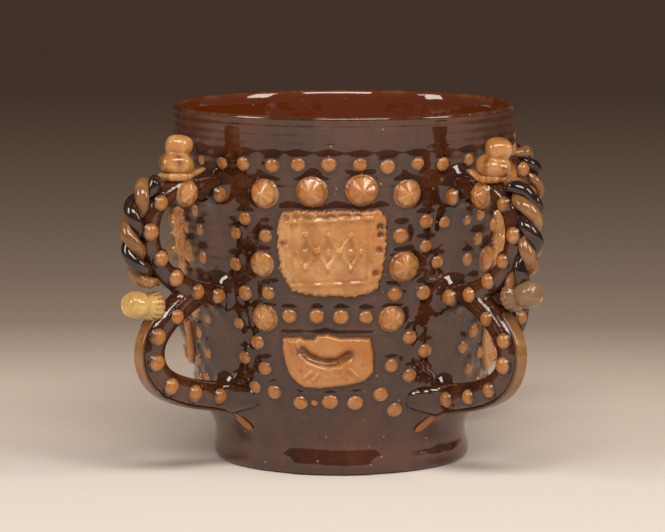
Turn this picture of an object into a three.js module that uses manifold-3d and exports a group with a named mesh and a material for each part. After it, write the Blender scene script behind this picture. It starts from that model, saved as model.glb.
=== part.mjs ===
// A slipware tyg: a cup for sharing, thrown in red earthenware and trimmed with pale clay.
// It has four double loop handles, with a stamped panel between each two of them.
// Sizes are in millimetres. The cup stands on z = 0, its axis is Z, and one panel faces -Y.
// A handle or panel is built with its outward direction along +X, and then turned into place.

import * as THREE from "three";
import { mergeVertices } from "three/addons/utils/BufferGeometryUtils.js";
import Module from "manifold-3d";

// Outside of the cup, from the foot up: each rise is measured from the level before it
const footRadius = 50.4;
const footBevel = 2;
const footHeight = 9;
const waistRise = 4.5;
const waistRadius = 49.3;
const bellyRise = 16;
const bellyRadius = 57.4;
const middleRise = 34.5;
const middleRadius = 61.8;
const shoulderRise = 56;
const shoulderRadius = 66.5;
const rimRise = 20.6;
const rimRadius = 68;

// Inside of the cup
const wallThickness = 4.8;
const lipThickness = 2.8;
const lipCrown = 0.7;
const floorThickness = 8;
const floorCorner = 9;
const floorCornerCut = 2.7;

// Handles
const strapWidth = 9;
const strapCorner = 2.4;
const upperStrapThickness = 8.6;
const upperTopBelowShoulder = 8;
const upperReach = 34.4;
const upperCrownLift = 3.5;
const upperWideDrop = 15;
const upperFootDrop = 42.5;
const lowerStrapThickness = 10.8;
const lowerReach = 36.6;
const lowerWideDrop = 19;
const lowerFootDrop = 40.3;
const strapRoot = 3;
const springShare = 0.85;

// How far the curves of the loops are pulled out, as shares of their reach or drop
const upperStartPull = 0.6;
const upperEndPull = 0.55;
const upperEndLift = 0.06;
const lowerStartPull = 0.25;
const lowerStartDrop = 0.2;
const lowerPullAbove = 0.5;
const lowerPullBelow = 0.66;
const lowerEndPull = 0.66;
const lowerEndLift = 0.09;

// Rope on the upper loops: two strands that wind round each other
const strandRadius = 2.1;
const strandSpacing = 4.4;
const ropeTurns = 3;
const ropeStartBeyondDisc = 3;
const ropeEndAboveFinial = 3.5;

// Pale strip on the lower loops, with its end pressed on the wall
const stripWidth = 7.6;
const stripThickness = 1.2;
const stripTailLength = 8;
const stripTailBend = 2.8;
const stripStartBelowFinial = 1;

// Finials
const topFinialFromWidest = 13.72;
const discRadius = 6.2;
const discThickness = 2.4;
const discNick = 0.45;
const discNicks = 12;
const discLeaf = 8.2;
const leafSharpness = 18;
const discSeat = 0.8;
const collarRadius = 6.5;
const collarHeight = 9;
const capRadius = 5.1;
const capHeight = 7;
const topNeckRadius = 4.3;
const sideStemRadius = 3.2;
const sideStemLength = 7.5;
const flangeRadius = 5.85;
const flangeLength = 4.6;
const ballRadius = 5.2;
const ballLength = 10;
const sideNeckRadius = 3.7;
const sideFinialEnd = 10;
const sideFinialRise = 3.3;
const topRounding = 0.45;
const topFlat = 3.1;
const ballRounding = 0.8;
const ballFlat = 3.4;
const beadFullness = 0.6;

// Stamped pads
const padThickness = 2.2;
const upperPadWidth = 41;
const upperPadHeight = 33.5;
const upperPadBelowShoulder = 14.8;
const padNick = 1.1;
const padNicksAcross = 9;
const padNicksUp = 7;
const padNickShare = 0.6;
const frameMargin = 4.8;
const frameGroove = 1.4;
const frameGrooveDepth = 0.8;
const lowerPadWidth = 36;
const lowerPadHeight = 22;
const lowerPadBelowUpper = 14.2;
const lowerPadCorner = 7;
const crescentWidth = 17;
const crescentDrop = 4.2;
const crescentThickness = 3.2;
const crescentDepth = 1.3;

// Prunts: angles are in degrees from the middle of their panel
const pruntRadius = 5.3;
const pruntHeight = 3;
const topPruntRadius = 6;
const topPruntHeight = 3.4;
const topPruntAngles = [-24.3, -8.1, 8.1, 24.3];
const topPruntsAbovePad = 6.8;
const midPruntAngle = 25.2;
const midPruntsBelowPadTop = 21.5;
const lowPruntAngle = 23.5;
const lowPruntsBelowPad = 9;
const handlePruntFromWidest = 15.72;
const handlePruntRadius = 4.6;
const handlePruntHeight = 2.6;
const handlePruntDrop = 1.4;
const domeShoulderOut = 0.62;
const domeShoulderUp = 0.8;

// Pellets: a collar round the cup, rows in each panel, and both side faces of the loops
const pelletRadius = 3.1;
const pelletHeight = 1.8;
const pelletRoot = 2.6;
const pelletShoulderOut = 0.85;
const pelletShoulderUp = 0.5;
const collarPellets = 36;
const collarStart = 0.6;
const collarAboveShoulder = 2.4;
const dividingAngles = [-15.4, -5.3, 3.2, 12.3];
const bottomAngles = [-12.1, -0.6, 9.2];
const bottomBelowPad = 5.4;
const upperPelletShares = [0.07, 0.34, 0.455, 0.56, 0.68, 0.8, 0.91];
const lowerPelletShares = [0.19, 0.3, 0.435, 0.575, 0.717, 0.86];

// Pellets beside the pads: degrees from the middle of the panel, millimetres below the collar
const sidePellets = [
  [-31.7, 21.3],
  [-35.8, 27.4],
  [-23.6, 27.7],
  [-36.5, 39.6],
  [-32.8, 50.6],
  [-23.2, 49.8],
  [-36.4, 62.8],
  [-28.5, 69.6],
  [-34.5, 76.1],
  [-25.8, 79.7],
  [-30.8, 87.5],
  [-22.5, 88.9],
  [23.4, 27.2],
  [32.7, 22],
  [33.1, 31.7],
  [40, 22.9],
  [38.2, 38.3],
  [22.2, 49.8],
  [33.4, 49.9],
  [29, 67.1],
  [35.7, 72.8],
  [22.5, 77.8],
  [30, 82.2],
  [19, 89.1],
  [25.4, 95.8],
];

// Rings of the turned beads, as shares of the height of a bead
const collarRings = [0.12, 0.35, 0.65, 1];
const capRings = [0.3, 0.7];
const flangeRings = [0.25, 0.7, 1];
const ballRings = [0.25, 0.55];

// Fit and fineness
const gap = 0.3;
const cupSides = 48;
const wallSteps = 7;
const strapSteps = 15;
const strandSteps = 24;
const strandSides = 5;
const stripSteps = 14;
const curveSteps = 10;
const offsetSteps = 24;
const searchSteps = 400;
const cornerSteps = 4;
const finialSides = 10;
const pruntSides = 8;
const pelletSides = 6;

const wasm = await Module();
wasm.setup();

const redGlaze = new THREE.MeshStandardMaterial({ color: 0x4a2416, roughness: 0.25, metalness: 0 });
const darkStrand = new THREE.MeshStandardMaterial({ color: 0x34170f, roughness: 0.2, metalness: 0 });
const paleClay = new THREE.MeshStandardMaterial({ color: 0xb87a3c, roughness: 0.35, metalness: 0 });
const butterClay = new THREE.MeshStandardMaterial({ color: 0xcf9c55, roughness: 0.3, metalness: 0 });

// Levels of the outside, counted up from the ground
const waistHeight = footHeight + waistRise;
const bellyHeight = waistHeight + bellyRise;
const middleHeight = bellyHeight + middleRise;
const shoulderHeight = middleHeight + shoulderRise;
const rimHeight = shoulderHeight + rimRise;

const wallCurve = new THREE.CatmullRomCurve3(
  [
    new THREE.Vector3(waistRadius, 0, waistHeight),
    new THREE.Vector3(bellyRadius, 0, bellyHeight),
    new THREE.Vector3(middleRadius, 0, middleHeight),
    new THREE.Vector3(shoulderRadius, 0, shoulderHeight),
    new THREE.Vector3(rimRadius, 0, rimHeight),
  ],
  false,
  "centripetal",
);

// Outside of the cup as radius and height, from the edge of the base to the rim
const outside = [
  new THREE.Vector2(footRadius - footBevel, 0),
  new THREE.Vector2(footRadius, footBevel),
  new THREE.Vector2(footRadius, footHeight),
  ...wallCurve.getSpacedPoints(wallSteps).map((p) => new THREE.Vector2(p.x, p.z)),
];

const upperTop = shoulderHeight - upperTopBelowShoulder;
const upperPadTop = shoulderHeight - upperPadBelowShoulder;
const upperPadBottom = upperPadTop - upperPadHeight;
const lowerPadTop = upperPadBottom - lowerPadBelowUpper;
const lowerPadBottom = lowerPadTop - lowerPadHeight;
const collarLevel = shoulderHeight + collarAboveShoulder;

// The places round the cup, in degrees from +X
const handlePlaces = [
  ["front_right", -45],
  ["back_right", 45],
  ["back_left", 135],
  ["front_left", 225],
];
const panelPlaces = [
  ["front", -90],
  ["right", 0],
  ["back", 90],
  ["left", 180],
];

// Radius of the outside at a height, on the straight lines between its points
function wallRadius(height) {
  const above = outside.findIndex((p) => p.y >= height);
  if (above < 1) return above === 0 ? outside[0].x : rimRadius;
  const low = outside[above - 1];
  const high = outside[above];
  return low.x + ((high.x - low.x) * (height - low.y)) / (high.y - low.y);
}

function solidFrom(geometry) {
  const bare = geometry.clone();
  bare.deleteAttribute("normal");
  bare.deleteAttribute("uv");
  const merged = mergeVertices(bare);
  return new wasm.Manifold(
    new wasm.Mesh({
      numProp: 3,
      vertProperties: merged.attributes.position.array,
      triVerts: new Uint32Array(merged.index.array),
    }),
  );
}

function joined(solids) {
  return wasm.Manifold.union(solids);
}

function meshFrom(name, solid, material) {
  const { numProp, numVert, vertProperties, triVerts } = solid.getMesh();
  const places = new Float32Array(numVert * 3);
  for (let i = 0; i < numVert; i += 1) {
    places.set(vertProperties.subarray(i * numProp, i * numProp + 3), i * 3);
  }
  const geometry = new THREE.BufferGeometry();
  geometry.setAttribute("position", new THREE.BufferAttribute(places, 3));
  geometry.setIndex(new THREE.BufferAttribute(triVerts, 1));
  const mesh = new THREE.Mesh(geometry, material);
  mesh.name = name;
  return mesh;
}

// Turns an outline of radius and height round the Z axis
function turned(outline, sides) {
  return new THREE.LatheGeometry(outline, sides).rotateX(Math.PI / 2);
}

// A point in the plane of a handle
function inPlane(out, height) {
  return new THREE.Vector3(out, 0, height);
}

// The direction away from the inside of a loop, across its path
function outwardOf(along) {
  return new THREE.Vector3(-along.z, 0, along.x);
}

// Solid inside of everything nearer to the wall than a clearance, to cut or shape what lies on it
function cupGrownBy(clearance) {
  const grown = outside.slice(1).map((p) => new THREE.Vector2(p.x + clearance, p.y));
  const bottom = new THREE.Vector2(footRadius + clearance, -clearance);
  const top = new THREE.Vector2(rimRadius + clearance, rimHeight + clearance);
  const profile = [new THREE.Vector2(0, bottom.y), bottom, ...grown, top, new THREE.Vector2(0, top.y)];
  return solidFrom(turned(profile, cupSides));
}

function cupBlank() {
  const inner = outside
    .filter((p) => p.y > floorThickness + floorCorner)
    .map((p) => {
      const share = p.y / rimHeight;
      const wall = wallThickness + (lipThickness - wallThickness) * share;
      return new THREE.Vector2(p.x - wall, p.y);
    })
    .reverse();
  const lip = new THREE.Vector2(rimRadius - lipThickness / 2, rimHeight + lipCrown);
  const cornerOut = wallRadius(floorThickness + floorCorner) - wallThickness;
  const profile = [
    new THREE.Vector2(0, 0),
    ...outside,
    lip,
    ...inner,
    new THREE.Vector2(cornerOut, floorThickness + floorCorner),
    new THREE.Vector2(cornerOut - floorCornerCut, floorThickness + floorCornerCut),
    new THREE.Vector2(cornerOut - floorCorner, floorThickness),
    new THREE.Vector2(0, floorThickness),
  ];
  return solidFrom(turned(profile, cupSides));
}

// A low dome of few faces with its base on the plane x = 0 and its top towards +X
function domeBlank(radius, height) {
  const profile = [
    new THREE.Vector2(0, -height),
    new THREE.Vector2(radius, -height),
    new THREE.Vector2(radius, 0),
    new THREE.Vector2(radius * domeShoulderOut, height * domeShoulderUp),
    new THREE.Vector2(0, height),
  ];
  return new THREE.LatheGeometry(profile, pruntSides).rotateZ(-Math.PI / 2);
}

// A dome seated on the wall, at an angle from +X and at a height
function domeOnWall(radius, height, angle, level) {
  const dome = domeBlank(radius, height);
  dome.translate(wallRadius(level), 0, level);
  dome.rotateZ(THREE.MathUtils.degToRad(angle));
  return dome;
}

// A pellet of few faces, seated like a dome, with its root inside what carries it
function pelletBlank(clearance) {
  const radius = pelletRadius + clearance;
  const height = pelletHeight + clearance;
  const profile = [
    new THREE.Vector2(0, -pelletRoot),
    new THREE.Vector2(radius, -pelletRoot),
    new THREE.Vector2(radius * pelletShoulderOut, height * pelletShoulderUp),
    new THREE.Vector2(0, height),
  ];
  return new THREE.LatheGeometry(profile, pelletSides).rotateZ(-Math.PI / 2);
}

function pelletOnWall(angle, level) {
  const pellet = pelletBlank(0);
  pellet.translate(wallRadius(level), 0, level);
  pellet.rotateZ(THREE.MathUtils.degToRad(angle));
  return solidFrom(pellet);
}

const cupClear = cupGrownBy(gap);

// The mid and low prunts of one panel, which faces +X
function sidePrunts() {
  const midLevel = upperPadTop - midPruntsBelowPadTop;
  const lowLevel = upperPadBottom - lowPruntsBelowPad;
  return [-1, 1].flatMap((side) => [
    solidFrom(domeOnWall(pruntRadius, pruntHeight, side * midPruntAngle, midLevel)),
    solidFrom(domeOnWall(pruntRadius, pruntHeight, side * lowPruntAngle, lowLevel)),
  ]);
}

// The pellets of one panel, mirrored when side is -1
function panelPellets(side) {
  const dividing = dividingAngles.map((angle) => [angle, (upperPadBottom + lowerPadTop) / 2]);
  const bottom = bottomAngles.map((angle) => [angle, lowerPadBottom - bottomBelowPad]);
  const beside = sidePellets.map(([angle, drop]) => [angle, collarLevel - drop]);
  return [...dividing, ...bottom, ...beside].map(([angle, level]) => pelletOnWall(side * angle, level));
}

function collarSolids() {
  const step = 360 / collarPellets;
  const angles = Array.from({ length: collarPellets }, (_, i) => collarStart + i * step);
  return angles.map((angle) => pelletOnWall(angle, collarLevel));
}

// What the two loops of a handle take up, with a clearance
function handleRoom() {
  const upperPath = upperLoopPath();
  const lowerPath = lowerLoopPath(upperPath);
  return joined([strap(upperPath, upperStrapThickness, gap), strap(lowerPath, lowerStrapThickness, gap)]);
}

// What the pads and top prunts of a panel take up, with a clearance
function panelRoom() {
  const upperPad = rectangle(upperPadWidth + 2 * gap, upperPadHeight + 2 * gap);
  const lowerPad = rectangle(lowerPadWidth + 2 * gap, lowerPadHeight + 2 * gap);
  const pruntLevel = upperPadTop + topPruntsAbovePad;
  const prunts = topPruntAngles.map((angle) =>
    solidFrom(domeOnWall(topPruntRadius + gap, topPruntHeight + 2 * gap, angle, pruntLevel)),
  );
  return joined([
    block(upperPad, (upperPadTop + upperPadBottom) / 2),
    block(lowerPad, (lowerPadTop + lowerPadBottom) / 2),
    ...prunts,
  ]);
}

// Copies of a solid, turned to each of some places round the cup
function atEach(places, solid) {
  return places.map(([, angle]) => solid.rotate([0, 0, angle]));
}

// The cup with the side prunts and all wall pellets joined to it, clear of what else lies there.
// Every second panel has its pellets mirrored.
function cupSolid() {
  const pellets = panelPlaces.map(([, angle], i) => {
    const side = i % 2 === 0 ? 1 : -1;
    return joined(panelPellets(side)).rotate([0, 0, angle]);
  });
  const room = joined([...atEach(handlePlaces, handleRoom()), ...atEach(panelPlaces, panelRoom())]);
  const clearPellets = joined([...collarSolids(), ...pellets]).subtract(room);
  return joined([cupBlank(), clearPellets, ...atEach(panelPlaces, joined(sidePrunts()))]);
}

// Centreline of a loop: it leaves its start, turns down at its widest point and comes back to its end
function loopPath(start, startPull, wide, pullAbove, pullBelow, endPull, end) {
  const upper = new THREE.CubicBezierCurve3(start, startPull, pullAbove, wide);
  const lower = new THREE.CubicBezierCurve3(wide, pullBelow, endPull, end);
  const points = [...upper.getPoints(curveSteps), ...lower.getPoints(curveSteps).slice(1)];
  return new THREE.CatmullRomCurve3(points, false, "centripetal");
}

// How far from the axis the upper loop is widest
function upperWidestOut() {
  return wallRadius(upperTop - upperWideDrop) + upperReach;
}

function upperLoopPath() {
  const wideHeight = upperTop - upperWideDrop;
  const footLevel = upperTop - upperFootDrop;
  const wideOut = upperWidestOut();
  return loopPath(
    inPlane(wallRadius(upperTop) - strapRoot, upperTop),
    inPlane(wideOut - upperReach * (1 - upperStartPull), upperTop + upperCrownLift),
    inPlane(wideOut, wideHeight),
    inPlane(wideOut, upperTop),
    inPlane(wideOut, wideHeight - upperWideDrop),
    inPlane(wideOut - upperReach * (1 - upperEndPull), footLevel + upperFootDrop * upperEndLift),
    inPlane(wallRadius(footLevel) - strapRoot, footLevel),
  );
}

function lowerLoopPath(upperPath) {
  const springLevel = upperTop - upperFootDrop;
  const wideHeight = springLevel - lowerWideDrop;
  const footLevel = springLevel - lowerFootDrop;
  const wideOut = wallRadius(wideHeight) + lowerReach;
  const spring = upperPath.getPointAt(springShare);
  return loopPath(
    spring,
    inPlane(spring.x + lowerReach * lowerStartPull, spring.z - lowerWideDrop * lowerStartDrop),
    inPlane(wideOut, wideHeight),
    inPlane(wideOut, wideHeight + lowerWideDrop * lowerPullAbove),
    inPlane(wideOut, wideHeight - lowerWideDrop * lowerPullBelow),
    inPlane(wideOut - lowerReach * (1 - lowerEndPull), footLevel + lowerFootDrop * lowerEndLift),
    inPlane(wallRadius(footLevel) - strapRoot, footLevel),
  );
}

// A rectangle with cut corners, to sweep along a path in the plane of a handle
function strapSection(width, thickness, corner) {
  const x = width / 2;
  const y = thickness / 2;
  return new THREE.Shape([
    new THREE.Vector2(x, y - corner),
    new THREE.Vector2(x - corner, y),
    new THREE.Vector2(corner - x, y),
    new THREE.Vector2(-x, y - corner),
    new THREE.Vector2(-x, corner - y),
    new THREE.Vector2(corner - x, -y),
    new THREE.Vector2(x - corner, -y),
    new THREE.Vector2(x, corner - y),
  ]);
}

function swept(section, path, steps) {
  return solidFrom(new THREE.ExtrudeGeometry(section, { extrudePath: path, steps, bevelEnabled: false }));
}

function strap(path, thickness, clearance) {
  const section = strapSection(strapWidth + 2 * clearance, thickness + 2 * clearance, strapCorner);
  return swept(section, path, strapSteps);
}

// A point beside a path, at a share of its length, moved outwards by an offset
function beside(path, share, offset) {
  return path.getPointAt(share).addScaledVector(outwardOf(path.getTangentAt(share)), offset);
}

// Share of a path's length at which a test first holds on the point beside it
function shareWhere(path, holds, offset = 0) {
  for (let i = 0; i <= searchSteps; i += 1) {
    const share = i / searchSteps;
    if (holds(beside(path, share, offset))) return share;
  }
  return 1;
}

// The part of a path between two shares of its length, moved outwards by an offset
function offsetPath(path, offset, from, to) {
  const points = [];
  for (let i = 0; i <= offsetSteps; i += 1) {
    points.push(beside(path, from + ((to - from) * i) / offsetSteps, offset));
  }
  return new THREE.CatmullRomCurve3(points, false, "centripetal");
}

// One strand of a rope: a helix round the middle line of the rope
class StrandCurve extends THREE.Curve {
  constructor(middle, radius, turns, phase) {
    super();
    Object.assign(this, { middle, radius, turns, phase });
  }

  getPoint(share, target = new THREE.Vector3()) {
    const angle = this.phase + share * this.turns * 2 * Math.PI;
    const outward = outwardOf(this.middle.getTangentAt(share));
    target.copy(this.middle.getPointAt(share));
    target.addScaledVector(outward, this.radius * Math.cos(angle));
    target.y += this.radius * Math.sin(angle);
    return target;
  }
}

function strandSolid(ropeMiddle, phase) {
  const section = new THREE.Shape();
  for (let i = 0; i < strandSides; i += 1) {
    const angle = (2 * Math.PI * i) / strandSides;
    const corner = new THREE.Vector2(Math.cos(angle), Math.sin(angle)).multiplyScalar(strandRadius);
    if (i === 0) section.moveTo(corner.x, corner.y);
    else section.lineTo(corner.x, corner.y);
  }
  section.closePath();
  const curve = new StrandCurve(ropeMiddle, strandSpacing / 2, ropeTurns, phase);
  return swept(section, curve, strandSteps);
}

// A bead of a turned finial, as radius and height, from its lower neck to its widest and in again
function bead(bottom, height, neck, widest, shares) {
  return shares.map((share) => {
    const bulge = Math.sin(Math.PI * share) ** beadFullness;
    return new THREE.Vector2(neck + (widest - neck) * bulge, bottom + height * share);
  });
}

function topFinialSolid(seat) {
  const profile = [
    new THREE.Vector2(0, 0),
    ...bead(0, collarHeight, topNeckRadius, collarRadius, collarRings),
    ...bead(collarHeight, capHeight, topNeckRadius, capRadius, capRings),
    new THREE.Vector2(topFlat, collarHeight + capHeight - topRounding),
    new THREE.Vector2(0, collarHeight + capHeight),
  ];
  profile[0].y = profile[1].y;
  const finial = turned(profile, finialSides);
  finial.translate(seat.x, 0, seat.z - profile[0].y);
  return solidFrom(finial);
}

function sideFinialSolid(stemStart, level) {
  const flangeStart = sideStemLength;
  const ballStart = flangeStart + flangeLength;
  const profile = [
    new THREE.Vector2(0, 0),
    new THREE.Vector2(sideStemRadius, 0),
    new THREE.Vector2(sideStemRadius, flangeStart),
    ...bead(flangeStart, flangeLength, sideNeckRadius, flangeRadius, flangeRings),
    ...bead(ballStart, ballLength, sideNeckRadius, ballRadius, ballRings),
    new THREE.Vector2(ballFlat, ballStart + ballLength - ballRounding),
    new THREE.Vector2(0, ballStart + ballLength),
  ];
  const finial = new THREE.LatheGeometry(profile, finialSides).rotateZ(-Math.PI / 2);
  finial.translate(stemStart, 0, level);
  return solidFrom(finial);
}

// A disc with a nicked edge and a leaf that points to the wall
function discSolid(centreOut, bottom) {
  const shape = new THREE.Shape();
  const points = discNicks * 2;
  for (let i = 0; i < points; i += 1) {
    const angle = (2 * Math.PI * i) / points;
    const leaf = discLeaf * Math.max(0, -Math.cos(angle)) ** leafSharpness;
    const radius = discRadius + discNick * Math.cos(discNicks * angle) + leaf;
    const corner = new THREE.Vector2(Math.cos(angle), Math.sin(angle)).multiplyScalar(radius);
    if (i === 0) shape.moveTo(corner.x, corner.y);
    else shape.lineTo(corner.x, corner.y);
  }
  shape.closePath();
  const disc = new THREE.ExtrudeGeometry(shape, { depth: discThickness, bevelEnabled: false });
  disc.translate(centreOut, 0, bottom);
  return solidFrom(disc);
}

// The strip follows the outside of the lower loop, and its tail turns down on the wall
function stripPath(lowerPath, startLevel) {
  const offset = lowerStrapThickness / 2 + gap + stripThickness / 2;
  const start = shareWhere(lowerPath, (p) => p.z < startLevel, offset);
  const nearWall = (p) => p.z < startLevel && p.x < wallRadius(p.z) + stripTailLength;
  const last = shareWhere(lowerPath, nearWall, offset);
  const along = offsetPath(lowerPath, offset, start, last).getPoints(stripSteps);
  const tailTop = along[along.length - 1].z - stripTailBend;
  for (const drop of [stripTailBend, stripTailLength]) {
    const level = tailTop - drop;
    along.push(inPlane(wallRadius(level) + gap * 2 + stripThickness / 2, level));
  }
  return new THREE.CatmullRomCurve3(along, false, "centripetal");
}

// The prunts on both side faces of the upper leg, grown by a clearance
function handlePrunts(path, clearance) {
  const seatOut = upperWidestOut() - handlePruntFromWidest;
  const seat = path.getPointAt(shareWhere(path, (p) => p.x > seatOut));
  return [-1, 1].map((side) => {
    const prunt = domeBlank(handlePruntRadius + clearance, handlePruntHeight + clearance);
    prunt.rotateZ((side * Math.PI) / 2);
    prunt.translate(seat.x, (side * strapWidth) / 2, seat.z - handlePruntDrop);
    return solidFrom(prunt);
  });
}

// Pellets on both side faces of a loop, at shares of its length, grown by a clearance
function loopPellets(path, shares, clearance) {
  return shares.flatMap((share) => {
    const seat = path.getPointAt(share);
    return [-1, 1].map((side) => {
      const pellet = pelletBlank(clearance);
      pellet.rotateZ((side * Math.PI) / 2);
      pellet.translate(seat.x, (side * strapWidth) / 2, seat.z);
      return solidFrom(pellet);
    });
  });
}

// Everything that one handle is made of, as solids by name
function handleSolids() {
  const upperPath = upperLoopPath();
  const lowerPath = lowerLoopPath(upperPath);
  const upperClear = strap(upperPath, upperStrapThickness, gap);
  const lowerClear = strap(lowerPath, lowerStrapThickness, gap);
  const finialOut = upperWidestOut() - topFinialFromWidest;
  const crown = upperPath.getPointAt(shareWhere(upperPath, (p) => p.x > finialOut)).z;
  const discBottom = crown + upperStrapThickness / 2 - discSeat;
  const upperLoop = joined([
    strap(upperPath, upperStrapThickness, 0),
    ...handlePrunts(upperPath, 0),
    ...loopPellets(upperPath, upperPelletShares, 0),
  ]);
  const disc = handlePrunts(upperPath, gap).reduce(
    (rest, prunt) => rest.subtract(prunt),
    discSolid(finialOut, discBottom).subtract(upperClear).subtract(cupClear),
  );
  const springLevel = upperTop - upperFootDrop;
  const sideLevel = springLevel + sideFinialRise;
  const ballEnd = upperWidestOut() + sideFinialEnd;
  const stemStart = ballEnd - ballLength - flangeLength - sideStemLength;
  const sideFinial = sideFinialSolid(stemStart, sideLevel).subtract(upperClear).subtract(lowerClear);

  const ropeRadius = strandSpacing / 2 + strandRadius;
  const ropeOffset = upperStrapThickness / 2 + gap + ropeRadius;
  const ropeStartOut = finialOut + discRadius + ropeStartBeyondDisc;
  const ropeEndLevel = sideLevel + flangeRadius + ropeEndAboveFinial;
  const ropeFrom = shareWhere(upperPath, (p) => p.x > ropeStartOut, ropeOffset);
  const ropeTo = shareWhere(upperPath, (p) => p.x > ropeStartOut && p.z < ropeEndLevel, ropeOffset);
  const rope = offsetPath(upperPath, ropeOffset, ropeFrom, ropeTo);

  const strip = swept(
    rectangle(stripWidth, stripThickness),
    stripPath(lowerPath, sideLevel - flangeRadius - stripStartBelowFinial),
    stripSteps,
  );
  const upperPelletsClear = joined(loopPellets(upperPath, upperPelletShares, gap));
  const lowerLoop = joined([
    strap(lowerPath, lowerStrapThickness, 0),
    ...loopPellets(lowerPath, lowerPelletShares, 0),
  ]);
  return {
    upper_loop: [upperLoop.subtract(cupClear), redGlaze],
    lower_loop: [
      lowerLoop.subtract(cupClear).subtract(upperClear).subtract(upperPelletsClear),
      redGlaze,
    ],
    dark_strand: [strandSolid(rope, 0), darkStrand],
    light_strand: [strandSolid(rope, Math.PI), paleClay],
    strip: [strip.subtract(lowerClear).subtract(cupClear), paleClay],
    crimped_disc: [disc, paleClay],
    top_finial: [topFinialSolid(inPlane(finialOut, discBottom + discThickness + gap)), paleClay],
    side_finial: [sideFinial, butterClay],
  };
}

// A rectangle whose four edges are nicked as if cut with a comb
function nickedOutline(width, height, nicksAcross, nicksUp) {
  const x = width / 2;
  const y = height / 2;
  const points = [];
  const edge = (fromX, fromY, toX, toY, nicks, inX, inY) => {
    const from = new THREE.Vector2(fromX, fromY);
    const to = new THREE.Vector2(toX, toY);
    const inwards = new THREE.Vector2(inX, inY);
    for (let i = 0; i < nicks; i += 1) {
      points.push(from.clone().lerp(to, i / nicks));
      points.push(from.clone().lerp(to, (i + padNickShare) / nicks).addScaledVector(inwards, padNick));
    }
  };
  edge(-x, -y, x, -y, nicksAcross, 0, 1);
  edge(x, -y, x, y, nicksUp, -1, 0);
  edge(x, y, -x, y, nicksAcross, 0, -1);
  edge(-x, y, -x, -y, nicksUp, 1, 0);
  return new THREE.Shape(points);
}

function rectangle(width, height) {
  const x = width / 2;
  const y = height / 2;
  return new THREE.Shape([
    new THREE.Vector2(-x, -y),
    new THREE.Vector2(x, -y),
    new THREE.Vector2(x, y),
    new THREE.Vector2(-x, y),
  ]);
}

// A rectangle with round lower corners
function tongue(width, height, corner) {
  const x = width / 2;
  const y = height / 2;
  const shape = new THREE.Shape();
  shape.moveTo(-x, y);
  shape.lineTo(-x, corner - y);
  shape.absarc(corner - x, corner - y, corner, Math.PI, 1.5 * Math.PI, false);
  shape.absarc(x - corner, corner - y, corner, 1.5 * Math.PI, 2 * Math.PI, false);
  shape.lineTo(x, y);
  shape.closePath();
  return shape;
}

// A crescent with its horns up, between two arcs through the same ends
function crescent(width, drop, thickness) {
  const shape = new THREE.Shape();
  shape.moveTo(-width / 2, 0);
  shape.quadraticCurveTo(0, -2 * drop, width / 2, 0);
  shape.quadraticCurveTo(0, -2 * (drop - thickness), -width / 2, 0);
  return shape;
}

// Pushes an outline outwards from the axis as a block, with its middle at a level
function block(shape, level) {
  const settings = { depth: rimRadius * 2, bevelEnabled: false, curveSegments: cornerSteps };
  const geometry = new THREE.ExtrudeGeometry(shape, settings);
  const outwards = new THREE.Matrix4().makeBasis(
    new THREE.Vector3(0, 1, 0),
    new THREE.Vector3(0, 0, 1),
    new THREE.Vector3(1, 0, 0),
  );
  return solidFrom(geometry.applyMatrix4(outwards).translate(0, 0, level));
}

function upperPadSolid(padSkin) {
  const level = (upperPadTop + upperPadBottom) / 2;
  const outline = nickedOutline(upperPadWidth, upperPadHeight, padNicksAcross, padNicksUp);
  const frame = rectangle(upperPadWidth - 2 * frameMargin, upperPadHeight - 2 * frameMargin);
  const inset = 2 * (frameMargin + frameGroove);
  frame.holes.push(rectangle(upperPadWidth - inset, upperPadHeight - inset));
  const grooveFloor = cupGrownBy(gap + padThickness - frameGrooveDepth);
  const groove = block(frame, level).subtract(grooveFloor);
  return block(outline, level).intersect(padSkin).subtract(cupClear).subtract(groove);
}

function lowerPadSolid(padSkin) {
  const level = (lowerPadTop + lowerPadBottom) / 2;
  const outline = tongue(lowerPadWidth, lowerPadHeight, lowerPadCorner);
  const moon = crescent(crescentWidth, crescentDrop, crescentThickness);
  const grooveFloor = cupGrownBy(gap + padThickness - crescentDepth);
  const groove = block(moon, level + crescentDrop / 2).subtract(grooveFloor);
  return block(outline, level).intersect(padSkin).subtract(cupClear).subtract(groove);
}

function topPruntSolid(angle) {
  const level = upperPadTop + topPruntsAbovePad;
  const prunt = domeOnWall(topPruntRadius, topPruntHeight + gap, angle, level);
  return solidFrom(prunt).subtract(cupClear);
}

// The pads and top prunts of one panel, as solids by name
function panelSolids() {
  const padSkin = cupGrownBy(gap + padThickness);
  const solids = {
    upper_pad: [upperPadSolid(padSkin), paleClay],
    lower_pad: [lowerPadSolid(padSkin), paleClay],
  };
  topPruntAngles.forEach((angle, i) => {
    solids[`prunt_${i + 1}`] = [topPruntSolid(angle), paleClay];
  });
  return solids;
}

// Four copies round the cup, each in a group that is turned as a whole
function addFourTimes(parent, solids, places) {
  for (const [place, degrees] of places) {
    const group = new THREE.Group();
    group.rotation.z = THREE.MathUtils.degToRad(degrees);
    for (const [piece, [solid, material]] of Object.entries(solids)) {
      group.add(meshFrom(`${place}_${piece}`, solid, material));
    }
    parent.add(group);
  }
}

const tyg = new THREE.Group();
tyg.add(meshFrom("cup", cupSolid(), redGlaze));
addFourTimes(tyg, handleSolids(), handlePlaces);
addFourTimes(tyg, panelSolids(), panelPlaces);

export default tyg;
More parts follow.
